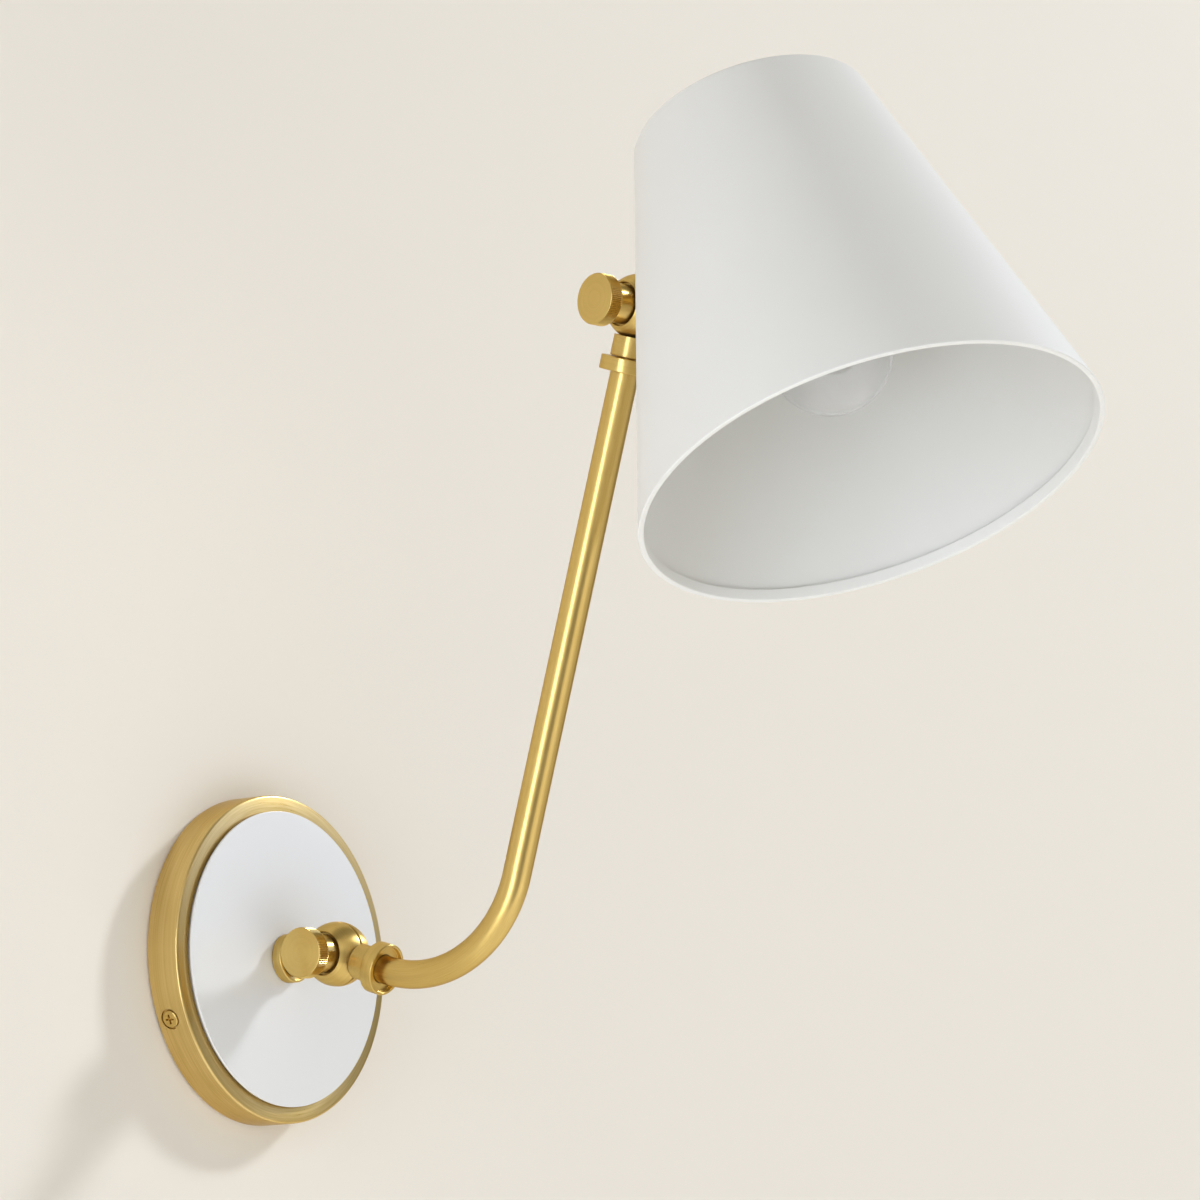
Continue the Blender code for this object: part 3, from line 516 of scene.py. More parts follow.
# a hexagon nut: r = the smaller of flat / cos(angle to the flat) and a 30 degree chamfer cone
def hexNut(name, low, high, place, body, node):
    a = anglesOf(nut["sides"])
    hexagon = nut["flat"] / np.cos((a % rad(60)) - rad(30))
    chamfer = nut["chamfer"]
    z = np.concatenate([np.linspace(low, low + chamfer, 6), np.linspace(high - chamfer, high, 6)])[:, None]
    cone = nut["coneFrom"] * nut["flat"] + nut["coneSlope"] * np.minimum(z - low, high - z)
    wide = clearHole + nut["boreBevel"]
    bore = np.array([(wide, high), (clearHole, high - 0.3), (clearHole, low + 0.3), (wide, low)])
    grid = np.concatenate([aboutAxis(np.minimum(hexagon, cone), a, z), spinGrid(bore, nut["sides"])])
    return skin(name, grid, place, zinc, body, (node,), True, sharp=28)


def washer(name, inner, outer, low, high, place, mat, body, node):
    edge = 0.3 * (high - low)
    corners = [(inner, low, edge), (outer, low, edge), (outer, high, edge), (inner, high, edge)]
    return spun(name, corners, place, mat, body, (node,), 72)


# a block between two levels, its four corners drawn in towards the lower one: the cutter of a cross slot
def wedge(name, x, y, low, high, taper, place):
    corner = np.array([(1, 1), (-1, 1), (-1, -1), (1, -1)]) * (x, y)
    level = [np.c_[0 * corner, np.full(4, low)], np.c_[corner * taper, np.full(4, low)],
             np.c_[corner, np.full(4, high)], np.c_[0 * corner, np.full(4, high)]]
    return skin(name, np.array(level), place)


# a spun screw whose head is cut by a cross of two tapered slots
def crossScrew(name, corners, top, arm, depth, place, mat, body, node):
    base = toolPiece(name + "Blank", corners, place, 64)
    slots = [("DIFFERENCE", wedge(name + "Slot" + str(i), x, y, top - depth, top + 1, 0.75, place))
             for i, (x, y) in enumerate(((arm, 0.2 * arm), (0.2 * arm, arm)))]
    return seat(name, carved(base, *slots), mat, body, (node,), 30)


plate = {
    "radius": 73.7, "depth": 16.7, "wall": 2.0, "rim": 8.0, "recess": 1.5, "web": 1.5, "edge": 1.0,
    "discRadius": 66.4, "discLip": 1.2, "discStep": 64.6, "discProud": 2.4, "discEdge": 0.35,
    "strapAngle": 21.7, "screwOut": 7.0, "strapRise": 3.2, "groundAt": 20.0,
    # the ring's brass is paler than the other brass: a painted sheen for its brighter reflections
    "fine": 1700.0, "paintedSheen": 0.09,
}
sideScrew = {
    "tip": 62.0, "tipRadius": 1.4, "stud": 2.0, "headFrom": 72.7, "head": 4.1, "proud": 0.3, "bevel": 0.75,
    "slot": 2.5, "slotDepth": 1.2, "hole": 2.4, "sink": 4.75, "sinkDepth": 1.3, "fine": 2500.0,
}
groundScrew = {"tip": 0.8, "stud": 1.9, "head": 4.4, "headFrom": 1.3, "top": 4.0, "slot": 2.6, "slotDepth": 1.4}
axisOut = wallFrame @ outOfWall
webFront = plate["depth"] - plate["recess"]
webBack = webFront - plate["web"]
inside, ringInner = plate["radius"] - plate["wall"], plate["radius"] - plate["rim"]
ringCorners = [
    (inside, 0, 0.2), (plate["radius"], 0, 0.3), (plate["radius"], plate["depth"], plate["edge"]),
    (ringInner, plate["depth"], 0.45), (ringInner, webFront, 0), (clearHole, webFront, 0),
    (clearHole, webBack, 0), (inside, webBack, 0.6),
]
sideFrames = {
    number: wallFrame @ shift(0, -plate["screwOut"], 0) @ turn("Y", side * 90 - plate["strapAngle"])
    for number, side in ((1, -1), (2, 1))
}
sinkAt = plate["radius"] - sideScrew["sinkDepth"]
holeCorners = [
    (0, 60, 0), (sideScrew["hole"], 60, 0), (sideScrew["hole"], sinkAt, 0), (sideScrew["sink"], sinkAt, 0),
    (sideScrew["sink"], 76, 0), (0, 76, 0),
]
blank = toolPiece("ringBlank", ringCorners, axisOut, 200)
drills = [("DIFFERENCE", toolPiece("ringDrill" + str(n), holeCorners, f, 48)) for n, f in sideFrames.items()]
# the plate ring's brass carries the painted sheen
plateBrass = brassOn("plateRing", axisOut, plate["fine"], plate["paintedSheen"])
seat("plateRing", carved(blank, *drills), plateBrass, "wall_plate", ("canopy_ring",), 24)

discFront = plate["depth"] + plate["discProud"]
spun("plateDisc", [
    (clearHole, webFront + gap, 0), (plate["discStep"], webFront + gap, 0.2),
    (plate["discStep"], discFront - plate["discLip"], 0.15),
    (plate["discRadius"], discFront - plate["discLip"], plate["discEdge"]),
    (plate["discRadius"], discFront, plate["discEdge"]), (clearHole, discFront, 0.2),
], axisOut, discPaint, "wall_plate", ("canopy_disc",), 200)

screwTop, headFrom = plate["radius"] + sideScrew["proud"], sideScrew["headFrom"]
screwCorners = [
    (0, sideScrew["tip"], 0), (sideScrew["tipRadius"], sideScrew["tip"], 0.3),
    (sideScrew["stud"], sideScrew["tip"] + 0.7, 0), (sideScrew["stud"], headFrom, 0),
    (sideScrew["head"], headFrom, 0.15), (sideScrew["head"], screwTop, sideScrew["bevel"]), (0, screwTop, 0),
]
for number, screwFrame in sideFrames.items():
    name = "sideScrew" + str(number)
    crossScrew(name, screwCorners, screwTop, sideScrew["slot"], sideScrew["slotDepth"], screwFrame,
               brassOn(name, screwFrame, sideScrew["fine"]), "wall_plate", "canopy_screw_" + str(number))

fall = rad(plate["strapAngle"])
alongStrap = Vector((math.cos(fall), 0, math.sin(fall)))
wallOut = Vector((0, -1, 0))
strapFrame = Matrix((alongStrap.cross(wallOut), alongStrap, wallOut)).transposed().to_4x4()
headAt, headTo = plate["strapRise"] + groundScrew["headFrom"], plate["strapRise"] + groundScrew["top"]
stud, head = groundScrew["stud"], groundScrew["head"]
crossScrew("groundScrew", [
    (0, groundScrew["tip"], 0), (stud, groundScrew["tip"], 0.3), (stud, headAt, 0), (head, headAt, 0.3),
    (head, headTo, 1.3), (0, headTo, 0),
], headTo, groundScrew["slot"], groundScrew["slotDepth"], strapFrame @ shift(0, plate["groundAt"], 0), greenZinc,
    "wall_plate", "ground_screw")

boss = {"radius": 11.0, "cup": 1.6, "floor": 3.4, "wall": 1.3}
bossFoot = discFront + gap
bossMouth = bossFoot + boss["floor"] + boss["cup"]


# outline of a cup, as the bosses and collars are: a floor with a through bore, and a thin wall round it
def cupCorners(radius, bore, foot, mouth, depth):
    inner, floor = radius - boss["wall"], mouth - depth
    return [
        (bore, foot, 0), (radius, foot, 0.4), (radius, mouth, 0.45), (inner, mouth, 0.35), (inner, floor, 0.25),
        (bore, floor, 0),
    ]


spun("plateBoss", cupCorners(boss["radius"], clearHole, bossFoot, bossMouth, boss["cup"]), axisOut,
     brassOn("plateBoss", axisOut), "wall_plate", ("wall_boss",), 120)

ballOut = -joints["base_swivel"]["pos_m"][1] / mm
lowerNeckEnd = ballOut - (bossMouth - boss["cup"] + gap)
threadedTube("plateNipple", plate["depth"] - 9, ballOut - lowerNeckEnd + nipple["grip"], axisOut, "wall_plate",
             "stem_nipple")
washer("plateWasher", clearHole, 9.0, webBack - 1.3, webBack - gap, axisOut, zinc, "wall_plate", "nipple_washer")
hexNut("plateNut", webBack - 4.6, webBack - 1.6, axisOut, "wall_plate", "nipple_nut")

supply = {
    "runs": [(1.2, 12.5), (1.2, 9), (2, 6.9), (4.6, 5.7), (10, 5.9), (17, 6.7), (23, 7), (29, 7)],  # out, off wall
    "radius": 0.9, "capAt": 25.0, "capRise": 7.0,
}
connector = {"flutes": 12, "fluteDepth": 0.07, "fluteFrom": 5.6, "fluteTo": 19.0, "sides": 96}
connectorLine = rounded([
    (0, 12, 0), (1.3, 12, 0), (1.3, 0, 0.3), (5.2, 0, 0.6), (5.2, 5, 0.5), (4.9, 5.6, 0), (4.6, 9, 0), (4.3, 14, 0),
    (3.9, 18.6, 0.8), (2.6, 20, 0.6), (0, 20, 0),
])
acrossStrap = Vector((-math.sin(fall), 0, math.cos(fall)))
for word, side, sleeve in (("live", 1, blackSleeve), ("neutral", -1, whiteSleeve)):
    way = acrossStrap * side
    marks = [tuple(way * run + wallOut * height) for run, height in supply["runs"]]
    pipe(word + "Lead", smoothRun(marks, 8), supply["radius"], wallFrame, sleeve, "wall_plate", ("lead_" + word,),
         16, normal=tuple(alongStrap))
    facing = Vector((0, 0, 1)).rotation_difference(way).to_matrix().to_4x4()
    capFrame = Matrix.Translation((way * supply["capAt"] + wallOut * supply["capRise"]) * mm) @ facing
    # fluted cone: radius times 1 - depth * (half + half cos(flutes * angle)), faded in and out along it
    grid = spinGrid(connectorLine, connector["sides"])
    z, a = grid[..., 2:], anglesOf(connector["sides"])[:, None]
    flute = np.clip((z - connector["fluteFrom"]) / 1.2, 0, 1) * np.clip((connector["fluteTo"] - z) / 1.5, 0, 1)
    wide = np.hypot(grid[..., :1], grid[..., 1:2]) > 2.5
    grid[..., :2] *= 1 - connector["fluteDepth"] * flute * wide * (0.5 + 0.5 * np.cos(connector["flutes"] * a))
    skin(word + "Connector", grid, capFrame, orangeCap, "wall_plate", ("wire_connector_" + word,))

refinish("mounting_strap", zinc)
print("wall plate made")


knuckle = {
    "ball": 14.5, "split": 0.55, "pocket": 9.4, "pocketDepth": 6.0, "seat": 9.6, "seatDepth": 8.2, "stud": 2.4,
    "nearHole": 2.8, "farHole": 2.7, "farHoleDepth": 11.5, "scoop": 15.6, "neck": 8.0, "neckFoot": 11.0, "wire": 3.3,
    "spigot": 4.9, "duller": 0.07,
}
tube = {"radius": 6.35, "wall": 1.2, "run": 30.0, "bend": 58.0, "upper": 253.0, "sides": 72}
collar = {"radius": 11.6, "foot": 22.9, "mouth": 29.2, "depth": 2.2}


# half a ball about the pivot's axis, fused to a neck that has been hollowed for the other half to roll in
def knuckleHalf(name, base, near, neckEnd, body, node, spigotEnd=0.0):
    k = knuckle
    ballFrame = base @ (towardKnob if near else awayFromKnob)
    scoopFrame = base @ (awayFromKnob if near else towardKnob) @ turn("Z", 0.7)  # small turns part the facets
    neckFrame = base @ outOfWall
    foot = math.degrees(math.asin(k["split"] / k["ball"]))
    mouth = math.degrees(math.acos(k["seat"] / k["ball"])) if near else 90.0
    shell = arcPoints(k["ball"], foot, mouth, 26)
    shell[0] = (*shell[0][:2], 0.3)
    if near:
        shell[-1] = (*shell[-1][:2], 0.3)
        hollow = [(k["seat"], k["seatDepth"], 0.3), (k["nearHole"], k["seatDepth"], 0),
                  (k["nearHole"], k["pocketDepth"], 0)]
    else:
        hollow = [(0, k["farHoleDepth"], 0), (k["farHole"], k["farHoleDepth"], 0), (k["farHole"], k["pocketDepth"], 0)]
    hollow += [(k["pocket"], k["pocketDepth"], 0), (k["pocket"], k["split"], 0)]
    ball = toolPiece(name + "Ball", shell + hollow, ballFrame)
    neckLine = [(0, k["neckFoot"], 0), (k["neck"], k["neckFoot"], 0), (k["neck"], neckEnd, 0.5)]
    boreLine = [(0, 4, 0), (k["wire"], 4, 0)]
    if spigotEnd:
        spigot = tube["radius"] - tube["wall"] - gap
        neckLine += [(spigot, neckEnd, 0), (spigot, spigotEnd, 0.3), (0, spigotEnd, 0)]
        boreLine += [(k["wire"], spigotEnd + 1, 0), (0, spigotEnd + 1, 0)]
    else:
        floor = neckEnd - nipple["grip"] - 1
        neckLine += [(0, neckEnd, 0)]
        boreLine += [(k["wire"], floor, 0), (clearHole, floor, 0), (clearHole, neckEnd + 1, 0), (0, neckEnd + 1, 0)]
    neck = toolPiece(name + "Neck", neckLine, neckFrame @ turn("Z", 1.3), 90)
    flat = -(k["split"] + 0.35)
    scoopLine = [(0, flat, 0), (k["scoop"], flat, 0), *arcPoints(k["scoop"], 0, 90, 26)]
    scoop = toolPiece(name + "Scoop", scoopLine, scoopFrame)
    bore = toolPiece(name + "Bore", boreLine, neckFrame @ turn("Z", 2.1), 48)
    neckCut = bpy.data.objects.new(name + "NeckCut", carved(neck, ("DIFFERENCE", scoop)))
    scene.collection.objects.link(neckCut)
    mesh = carved(ball, ("UNION", neckCut), ("DIFFERENCE", bore))
    return seat(name, mesh, brassOn(name, ballFrame, duller=k["duller"]), body, (node,), 28)


# thumb screw: spun head whose rim is cut by V grooves, r = R - depth * triangle(teeth * angle)
knob = {
    "face": 26.3, "radius": 11.3, "head": 6.6, "teeth": 84, "groove": 0.46, "band": 2.2, "shoulder": 8.7,
    "bevel": 0.75, "tip": -9.5, "fine": 6000.0,
}


def thumbScrew(name, base, body, node):
    place = base @ towardKnob
    back, seatAt = knob["face"] - knob["head"], knuckle["seatDepth"] + 1.1
    stud, shoulder, radius = knuckle["stud"], knob["shoulder"], knob["radius"]
    line = rounded([
        (0, knob["tip"], 0), (stud, knob["tip"], 0.5), (stud, seatAt, 0), (shoulder, seatAt, 0.3),
        (shoulder, back, 0.15), (radius, back, knob["bevel"]), (radius, back + knob["band"], 0),
        (radius, knob["face"] - knob["band"], 0), (radius, knob["face"], knob["bevel"]), (0, knob["face"], 0),
    ], 6)
    sides = knob["teeth"] * 6
    grid = spinGrid(line, sides)
    vee = np.abs(((np.arange(sides) / sides * knob["teeth"]) % 1) * 2 - 1)
    r = line[:, :1]
    onRim = np.clip((r - (radius - 0.32)) / 0.3, 0, 1)
    grid[..., :2] *= (1 - onRim * knob["groove"] * vee / np.maximum(r, 1))[..., None]
    return skin(name, grid, place, brassOn(name, place, knob["fine"]), body, (node,), sharp=30)


# split lock washer: a square section carried most of the way round, its ends a little apart
def lockWasher(name, base, body, node):
    low, high = knuckle["seatDepth"] + gap, knuckle["seatDepth"] + 0.8
    inner, outer = knuckle["stud"] + 0.3, 6.5
    a = np.radians(np.linspace(8, 352, 70))[:, None]
    section = np.array([(inner, low), (outer, low), (outer, high), (inner, high)])
    middle = np.tile(section.mean(0), (4, 1))
    grid = np.concatenate([aboutAxis(points[:, 0], angle, points[:, 1])
                           for points, angle in ((middle, a[:1]), (section, a), (middle, a[-1:]))])
    return skin(name, grid, base @ towardKnob, zinc, body, (node,))


fibreWasher = {"inner": 10.0, "outer": 13.6, "half": 0.25}
armNeckEnd = collar["foot"] - gap
headTop = armFrame @ shift(0, -tube["run"] - tube["bend"], tube["bend"] + tube["upper"])
knuckleHalf("wallKnuckleNear", lowerFrame @ turn("X", 180), True, lowerNeckEnd, "base", "lower_knuckle_wall_half")
knuckleHalf("wallKnuckleFar", armFrame, False, armNeckEnd, "arm", "lower_knuckle_arm_half",
            armNeckEnd + knuckle["spigot"])
knuckleHalf("headKnuckleFar", yokeFrame @ turn("X", 90), False, armNeckEnd, "head_yoke", "upper_knuckle_arm_half",
            armNeckEnd + knuckle["spigot"])
headNeckEnd = shadeSize["fromKnuckle"] - boss["floor"] - 2 * gap
knuckleHalf("headKnuckleNear", stemFrame, True, headNeckEnd, "head", "upper_knuckle_shade_half")
knobs = (("lower", lowerFrame, armFrame, "base", "lower_knob"),
         ("upper", yokeFrame, yokeFrame, "head_yoke", "upper_knob"))
for word, base, screwBase, body, screwBody in knobs:
    thumbScrew(word + "ThumbScrew", screwBase, screwBody, word + "_thumb_screw")
    lockWasher(word + "LockWasher", screwBase, screwBody, word + "_spring_washer")
    washer(word + "FibreWasher", fibreWasher["inner"], fibreWasher["outer"], -fibreWasher["half"],
           fibreWasher["half"], base @ awayFromKnob, fibre, body, word + "_friction_washer")
print("knuckles made")


# centre line of the arm: out, a quarter circle, then up, in the arm's own plane
def armLine(start, stop, steps=56):
    bend = np.linspace(0, math.pi / 2, steps + 1)
    out, up = tube["run"] + tube["bend"] * np.sin(bend), tube["bend"] * (1 - np.cos(bend))
    curve = np.stack([0 * bend, -out, up], -1)
    first = np.linspace((0, -start, 0), curve[0], 5)[:-1]
    last = np.linspace(curve[-1], (0, curve[-1][1], tube["bend"] + tube["upper"] - stop), 24)[1:]
    return np.concatenate([first, curve, last])


pipe("armTube", armLine(collar["foot"], collar["foot"]), tube["radius"], armFrame, brushedBrass("tubeBrass"), "arm",
     ("arm_tube",), tube["sides"], tube["radius"] - tube["wall"])
cup = cupCorners(collar["radius"], tube["radius"] + gap, collar["foot"], collar["mouth"], collar["depth"])
collarFrames = {"lower": armFrame @ outOfWall, "upper": headTop @ turn("X", 90) @ outOfWall}
for word, place in collarFrames.items():
    spun(word + "Collar", cup, place, brassOn(word + "Collar", place), "arm", (word + "_collar",), 120)
pipe("armLead", armLine(16, 16, 24), 2.2, armFrame, whiteSleeve, "arm", ("arm_lead",), 16)
print("arm made")


shadeLook = {"hem": 4.6, "lip": 2.6, "lipEdge": 0.55, "shoulder": 2.5, "sides": 220}
wallAcross = shadeSize["wall"] / math.cos(shadeSlope)
hem, lip, edge = shadeLook["hem"], shadeLook["lip"], shadeLook["lipEdge"]
shadeTop = shadeSize["height"]
roofInside = shadeTop - shadeSize["wall"]
shadeBlank = toolPiece("shadeBlank", [
    (sideR(0), 0, edge), (sideR(0) - lip, 0, edge), (sideR(hem) - lip, hem, 0.35),
    (sideR(hem) - wallAcross, hem + 0.4, 0.25), (sideR(roofInside) - wallAcross, roofInside, 1.5), (0, roofInside, 0),
    (0, shadeTop, 0), (sideR(shadeTop), shadeTop, shadeLook["shoulder"]),
], shadeFrame, shadeLook["sides"])
alongStem = stemFrame @ outOfWall
drillLine = [(0, 25, 0), (clearHole, 25, 0), (clearHole, 36, 0), (0, 36, 0)]
clampDrill = toolPiece("clampDrill", drillLine, alongStem, 48)
seat("shadeShell", carved(shadeBlank, ("DIFFERENCE", clampDrill)), shadePaint, "head", ("shade",), 30)

outFrom = shadeSize["fromKnuckle"]
bossFrame = stemFrame @ shift(0, -outFrom, 0) @ turn("X", 180) @ outOfWall
headMouth = outFrom - headNeckEnd - gap + boss["cup"]
headCup = cupCorners(boss["radius"], clearHole, -1.2, headMouth, boss["cup"])
past = [(0, -5, 0), (sideR(-5) + gap, -5, 0), (sideR(shadeTop) + gap, shadeTop, 0), (0, shadeTop, 0)]
headBoss = carved(toolPiece("headBossBlank", headCup, bossFrame, 120),
                  ("DIFFERENCE", toolPiece("headBossSeat", past, shadeFrame, 180)))
seat("headBoss", headBoss, brassOn("headBoss", bossFrame), "head", ("shade_boss",), 30)
threadedTube("headNipple", headNeckEnd - nipple["grip"], outFrom + 10, alongStem, "head", "shade_nipple")
washer("headWasher", clearHole, 7.0, outFrom + 1.7, outFrom + 2.2, alongStem, zinc, "head", "shade_washer")
hexNut("headNut", outFrom + 4.8, outFrom + 8.0, alongStem, "head", "shade_nut")
refinish("socket_bracket", holderPaint)
print("shade made")


# levels above the shade's rim
holder = {"bracket": 150.0, "shell": 17.5, "wall": 1.2, "capHeight": 19.0, "mouth": 95.8, "floor": 120.3, "bulb": 60.8}
top = holder["bracket"] - 1 - gap
shellR, foot = holder["shell"], top - holder["capHeight"]
shellIn, mouthAt, floorAt = shellR - holder["wall"], holder["mouth"], holder["floor"]
threadedTube("holderNipple", top - 8, holder["bracket"] + 6, shadeFrame, "head", "socket_nipple")
hexNut("holderNut", holder["bracket"] + 1.3, holder["bracket"] + 4.5, shadeFrame, "head", "socket_nut")
spun("holderCap", [
    (clearHole, top, 0), (9, top, 1.5), (15, top - 5, 3), (shellR, top - 11, 2), (shellR, foot, 0.3),
    (shellIn, foot, 0.3), (shellIn, top - 11, 2), (14, top - 6, 2.5), (8.6, top - 1.4, 1), (clearHole, top - 1.4, 0),
], shadeFrame, holderPaint, "head", ("socket_cap",))
spun("holderShell", [
    (shellIn, mouthAt, 0.4), (shellR, mouthAt, 0.4), (shellR, mouthAt + 2.2, 0), (shellR - 0.35, mouthAt + 2.6, 0),
    (shellR - 0.35, mouthAt + 3.4, 0), (shellR, mouthAt + 3.8, 0), (shellR, foot - gap, 0.3),
    (shellIn, foot - gap, 0.3),
], shadeFrame, holderPaint, "head", ("socket_shell",))
coreR, coreIn = shellR - 1.6, 13.8
spun("holderCore", [
    (coreR, mouthAt + 1, 0.3), (coreR, floorAt + 4, 0.6), (2, floorAt + 4, 0), (2, floorAt, 0), (coreIn, floorAt, 1),
    (coreIn, mouthAt + 1, 0.4),
], shadeFrame, phenolic, "head", ("socket_core",))
spun("holderContact", [
    (0, floorAt - 1.2, 0), (5, floorAt - 1.2, 0.4), (5, floorAt - gap, 0.2), (1.6, floorAt - gap, 0),
    (1.6, floorAt + 5.5, 0.3), (0, floorAt + 5.5, 0),
], shadeFrame, brassOn("holderContact", shadeFrame), "head", ("socket_contact",), 48)
wallPoint = np.array((0, clampR, clampLevel))
inward = np.array((0, -math.cos(shadeSlope), -math.sin(shadeSlope)))
leadMarks = [
    *(wallPoint + inward * reach for reach in (4, 11, 18)), (9, 38, 137), (14, 27, 149), (10, 14, 161),
    (2.5, 3, 165), (0, 0, 159), (0, 0, 152),
]
pipe("holderLead", smoothRun(leadMarks, 10), 1.8, shadeFrame, whiteSleeve, "head", ("socket_lead",), 20)
print("lamp holder made")


bulb = {"radius": 26.6, "wall": 0.8, "neck": 12.4, "neckTop": 31.0, "leave": 50.0, "straight": 28.0}
bulbFrame = shadeFrame @ shift(0, 0, holder["bulb"])


# globe to neck: an arc, then a cubic from the arc's end and slope to the neck's, as (radius, height)
def globeLine(inset):
    r, neckR, leave = bulb["radius"] - inset, bulb["neck"] - inset, rad(bulb["leave"])
    arcLine = np.array(arcPoints(r, -90, bulb["leave"], 64))[:, :2]
    start, end = arcLine[-1], np.array((neckR, bulb["straight"]))
    reach = 1.1 * np.linalg.norm(end - start)
    lead, land = np.array((-math.sin(leave), math.cos(leave))) * reach, np.array((0, 1.0)) * reach
    t = np.linspace(0, 1, 14)[1:, None]
    blend = ((2 * t**3 - 3 * t**2 + 1) * start + (t**3 - 2 * t**2 + t) * lead
             + (3 * t**2 - 2 * t**3) * end + (t**3 - t**2) * land)
    return np.concatenate([arcLine, blend, [(neckR, bulb["neckTop"])]])


globe = np.concatenate([globeLine(0), globeLine(bulb["wall"])[::-1]])
skin("bulbGlobe", spinGrid(globe, 144), bulbFrame, glass, "head", ("bulb_glass",))

# screw shell: radius times 1 + thread / 2 * cos(height / pitch - angle) / radius, faded out at both ends
screwBase = {"radius": 13.0, "thread": 0.55, "pitch": 3.63, "from": 34.5, "to": 52.0, "rows": 60, "sides": 96}
low, high, deep, capFoot = screwBase["from"], screwBase["to"], screwBase["thread"] / 2, bulb["neckTop"] + gap
foldLine = np.concatenate([
    [(0, capFoot), (12.6, capFoot), (12.9, bulb["neckTop"] + 0.7)],
    np.c_[np.full(screwBase["rows"], screwBase["radius"] - deep), np.linspace(low, high, screwBase["rows"])],
    [(12.3, 53.0), (11.2, 54.6), (9.6, 55.6), (6.2, 56.4), (4.9, 56.8), (4.5, 57.6), (3.6, 58.0), (0, 58.0)],
])
grid = spinGrid(foldLine, screwBase["sides"])
z, a = grid[..., 2], anglesOf(screwBase["sides"])
inThread = np.clip((z - low) / 2, 0, 1) * np.clip((high - z) / 2, 0, 1)
wave = np.cos(math.tau * z / screwBase["pitch"] - a)
grid[..., :2] *= (1 + inThread * deep * wave / screwBase["radius"])[..., None]
skin("bulbCap", grid, bulbFrame, zincSteel("bulbCapNickel", (0.70, 0.69, 0.66)), "head", ("bulb_base",))

neckTop = bulb["neckTop"]
spun("bulbStem", [(0, -6, 0), (1.5, -6, 0.8), (1.5, 10, 3), (3.5, 20, 4), (7, neckTop, 0), (0, neckTop, 0)],
     bulbFrame, glass, "head", ("bulb_stem",), 64)

# filament: a fine coil wound about an open, waved hoop
coil = {"hoop": 9.0, "wave": 3.4, "from": 20.0, "through": 320.0, "radius": 0.5, "wire": 0.11, "turns": 90,
        "post": 0.22}
along = np.linspace(0, 1, coil["turns"] * 8)
h = np.radians(coil["from"] + coil["through"] * along)
hoop = np.stack([coil["hoop"] * np.sin(h), coil["wave"] * np.sin(2 * h), coil["hoop"] * np.cos(h) - 1], -1)
side, over = acrossPath(hoop, (0.0, 1.0, 0.2))
w = (math.tau * coil["turns"] * along)[:, None]
coilLine = hoop + coil["radius"] * (np.cos(w) * side + np.sin(w) * over)
tungsten = zincSteel("tungsten", (0.42, 0.36, 0.28))
pipe("bulbFilament", coilLine, coil["wire"], bulbFrame, tungsten, "head", ("bulb_filament",), 5, normal=(0.3, 1, 0.1))
for number, end in enumerate((hoop[0], hoop[-1]), 1):
    out = np.sign(end[0])
    post = smoothRun([end, end * (0.8, 0.9, 1) + (0, 0, 2.5), (1.2 * out, 0, 14.5), (out, 0, 26)], 10)
    pipe("filamentPost" + str(number), post, coil["post"], bulbFrame, tungsten, "head", (), 8, normal=(0, 1, 0.01))
print("bulb made")


# sizes in metres; the floor glows a little, as a sunlit one lights a room from below
room = {
    "wall": (0.82, 0.77, 0.685), "floor": (0.80, 0.79, 0.77), "behind": 0.001, "floorAt": -1.6, "floorWide": 8.0,
    "hole": 0.070, "reach": 2.2, "floorGlow": 0.30, "floorTint": (1, 0.98, 0.95), "backdrop": (0.80, 0.785, 0.75),
    "sky": (0.305, 0.29, 0.255), "dim": 0.8, "dimToward": 22.0, "dimSpan": (0.45, 0.9),
}
# lamps: which way they stand from the object (degrees), how far, width, height, power, colour
lamps = {
    "key": (63.4, 29.3, 6.0, 0.7, 0.7, 186.0, (1.03, 1.08, 1.17)),
    "strip": (-80.0, -4.0, 3.6, 1.1, 2.8, 44.0, (0.86, 0.96, 1.16)),
    "lowFill": (-30.0, -48.0, 2.2, 5.0, 4.0, 26.0, (0.99, 0.99, 1.0)),
    "frontFill": (-38.0, 22.0, 3.5, 3.6, 3.0, 21.0, (0.99, 0.99, 1.0)),
    "behindWall": (170.0, 5.0, 2.5, 2.0, 2.0, 45.0, (1.0, 0.98, 0.95)),
}
# glowing cards that only gloss sees, dark or pale: direction, distance, width, height, how bright, colour
cards = {
    "cardLeft": (-36.0, -19.0, 2.0, 1.25, 1.9, 0.30, (1.0, 0.97, 0.92)),
    "cardRight": (56.0, -24.0, 2.0, 1.4, 0.9, 0.72, (1.0, 0.93, 0.80)),
    "cardFace": (58.0, 22.0, 2.0, 1.1, 1.4, 1.30, (0.88, 1.0, 1.45)),
}
aimAt = Vector((0, -0.2, 0.1))


def toward(azimuth, elevation):
    a, e = rad(azimuth), rad(elevation)
    return Vector((math.sin(a) * math.cos(e), -math.cos(a) * math.cos(e), math.sin(e)))


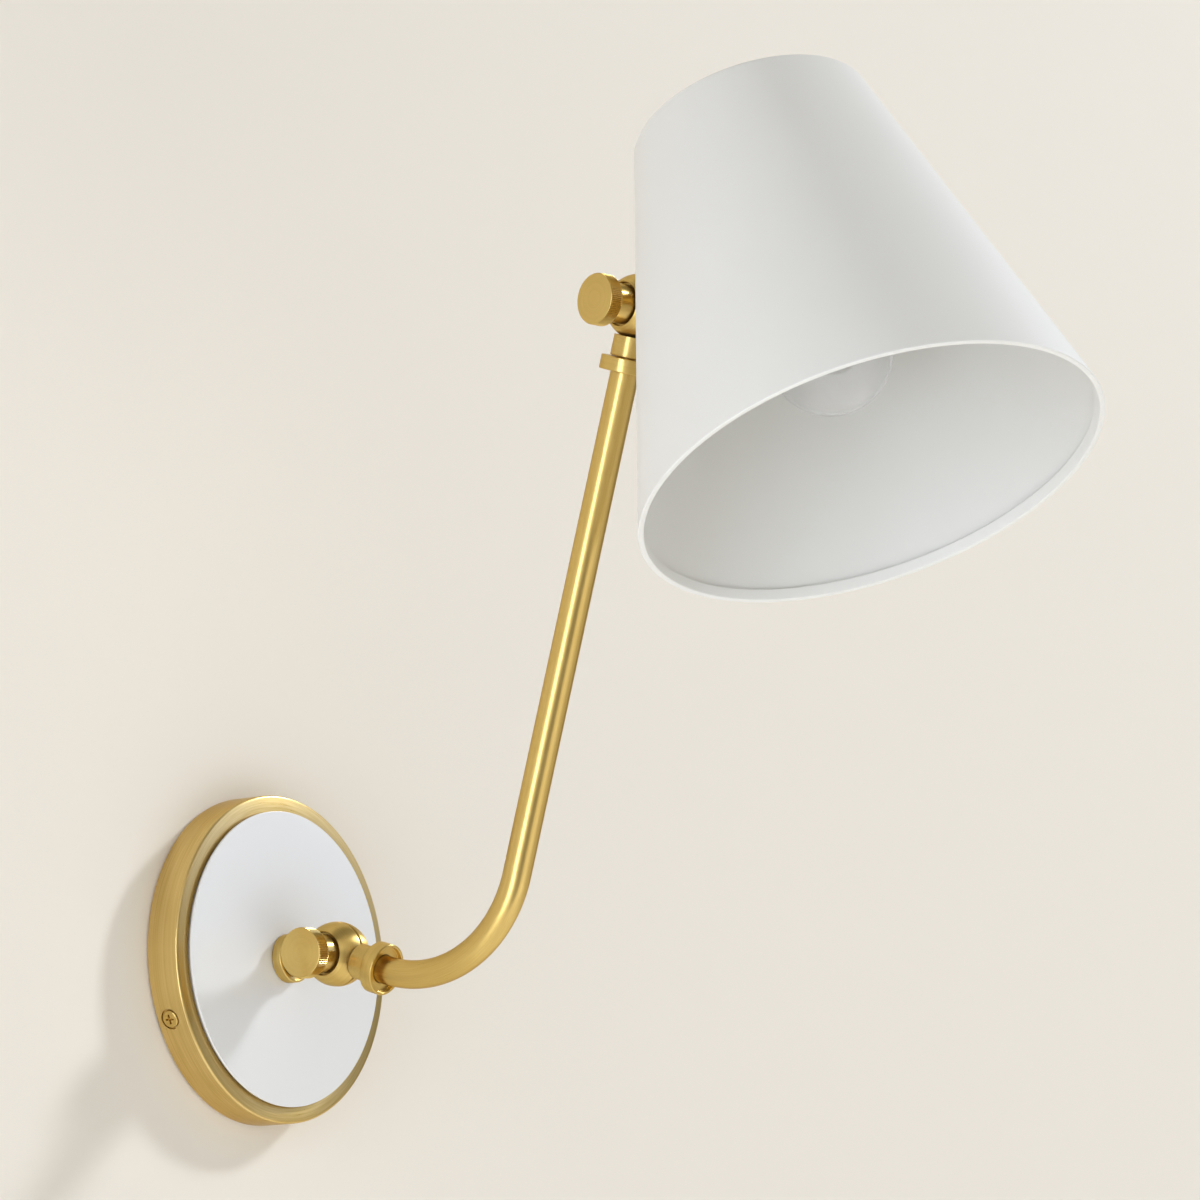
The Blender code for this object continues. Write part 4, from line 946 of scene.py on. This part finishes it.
def sheetOf(name, corners, colour, roughness, oneSided=False, faces=((0, 1, 2, 3),), glow=0.0, tint=(1, 1, 1)):
    # A skimmed flat sheet of the room; a one-sided one is clear from behind, and a sheet may glow.
    mesh = bpy.data.meshes.new(name)
    mesh.from_pydata(corners, [], faces)
    mat, shader, node, link = newMaterial(name + "Paint")
    skim = onObject(node, link, "TexNoise", Scale=260.0, Detail=3.0)
    wireBump(node, link, shader, skim.outputs["Fac"], 0.06, 0.0004)
    shader.inputs["Base Color"].default_value = (*colour, 1)
    shader.inputs["Roughness"].default_value = roughness
    if glow:
        shader.inputs["Emission Color"].default_value = (*tint, 1)
        shader.inputs["Emission Strength"].default_value = glow
    if oneSided:
        mix = node("MixShader")
        link(node("NewGeometry").outputs["Backfacing"], mix.inputs[0])
        link(shader.outputs[0], mix.inputs[1])
        link(node("BsdfTransparent").outputs[0], mix.inputs[2])
        out = next(n for n in mat.node_tree.nodes if n.type == "OUTPUT_MATERIAL")
        link(mix.outputs[0], out.inputs["Surface"])
    mesh.materials.append(mat)
    obj = bpy.data.objects.new(name, mesh)
    scene.collection.objects.link(obj)
    return obj


# the wall is open behind the plate, as over an electrical box: a circle joined to points on a square
count, reach, low = 96, room["reach"], room["floorAt"]
spokes = anglesOf(count)
circle = np.c_[np.cos(spokes), 0 * spokes, np.sin(spokes)]
square = circle / np.maximum(np.abs(circle[:, :1]), np.abs(circle[:, 2:]))
boxHole = circle * room["hole"] + (0, room["behind"], 0)
wallEdge = np.maximum(square * reach, (-reach, 0, low)) + (0, room["behind"], 0)
around = [(i, count + i, count + (i + 1) % count, (i + 1) % count) for i in range(count)]
sheetOf("roomWall", np.concatenate([boxHole, wallEdge]), room["wall"], 0.85, True, around)
wide = room["floorWide"]
sheetOf("roomFloor", [(-wide, -wide, low), (wide, -wide, low), (wide, wide, low), (-wide, wide, low)], room["floor"],
        0.8, True, glow=room["floorGlow"], tint=room["floorTint"])

for name, (azimuth, elevation, far, width, height, glow, colour) in cards.items():
    way = toward(azimuth, elevation)
    across = way.cross(Vector((0, 0, 1))).normalized() * width / 2
    upward = across.cross(way).normalized() * height / 2
    corners = [aimAt + way * far + across * x + upward * y for x, y in ((-1, -1), (1, -1), (1, 1), (-1, 1))]
    card = sheetOf(name, corners, (0, 0, 0), 0.9, glow=glow, tint=colour)
    card.visible_camera = card.visible_shadow = card.visible_diffuse = card.visible_transmission = False

for name, (azimuth, elevation, far, width, height, power, colour) in lamps.items():
    data = bpy.data.lights.new(name, "AREA")
    data.shape = "RECTANGLE"
    data.size, data.size_y = width, height
    data.energy = power
    data.color = colour
    lamp = bpy.data.objects.new(name, data)
    lamp.location = aimAt + toward(azimuth, elevation) * far
    lamp.rotation_euler = toward(azimuth, elevation).to_track_quat("Z", "Y").to_euler()
    lamp.visible_camera = False
    scene.collection.objects.link(lamp)

# surroundings: pale all round, dimmer in one sector of the room in front, and a plain backdrop to the eye
world = bpy.data.worlds.new("room")
scene.world = world
world.use_nodes = True
world.node_tree.nodes.clear()
node, link = nodeMaker(world.node_tree), world.node_tree.links.new
dot = node("VectorMath", operation="DOT_PRODUCT")
dot.inputs[1].default_value = toward(room["dimToward"], 0)
link(node("TexCoord").outputs["Generated"], dot.inputs[0])
ramp = node("ValToRGB")
ramp.color_ramp.interpolation = "EASE"
for end, part, spot in zip(ramp.color_ramp.elements, (1, room["dim"]), room["dimSpan"]):
    end.position = spot
    end.color = (*(part * c for c in room["sky"]), 1)
link(dot.outputs["Value"], ramp.inputs["Fac"])
shine, plain = node("Background"), node("Background", Color=(*room["backdrop"], 1))
link(ramp.outputs["Color"], shine.inputs["Color"])
choose = node("MixShader")
link(node("LightPath").outputs["Is Camera Ray"], choose.inputs[0])
link(shine.outputs[0], choose.inputs[1])
link(plain.outputs[0], choose.inputs[2])
link(choose.outputs[0], node("OutputWorld").inputs["Surface"])
print("room lit")
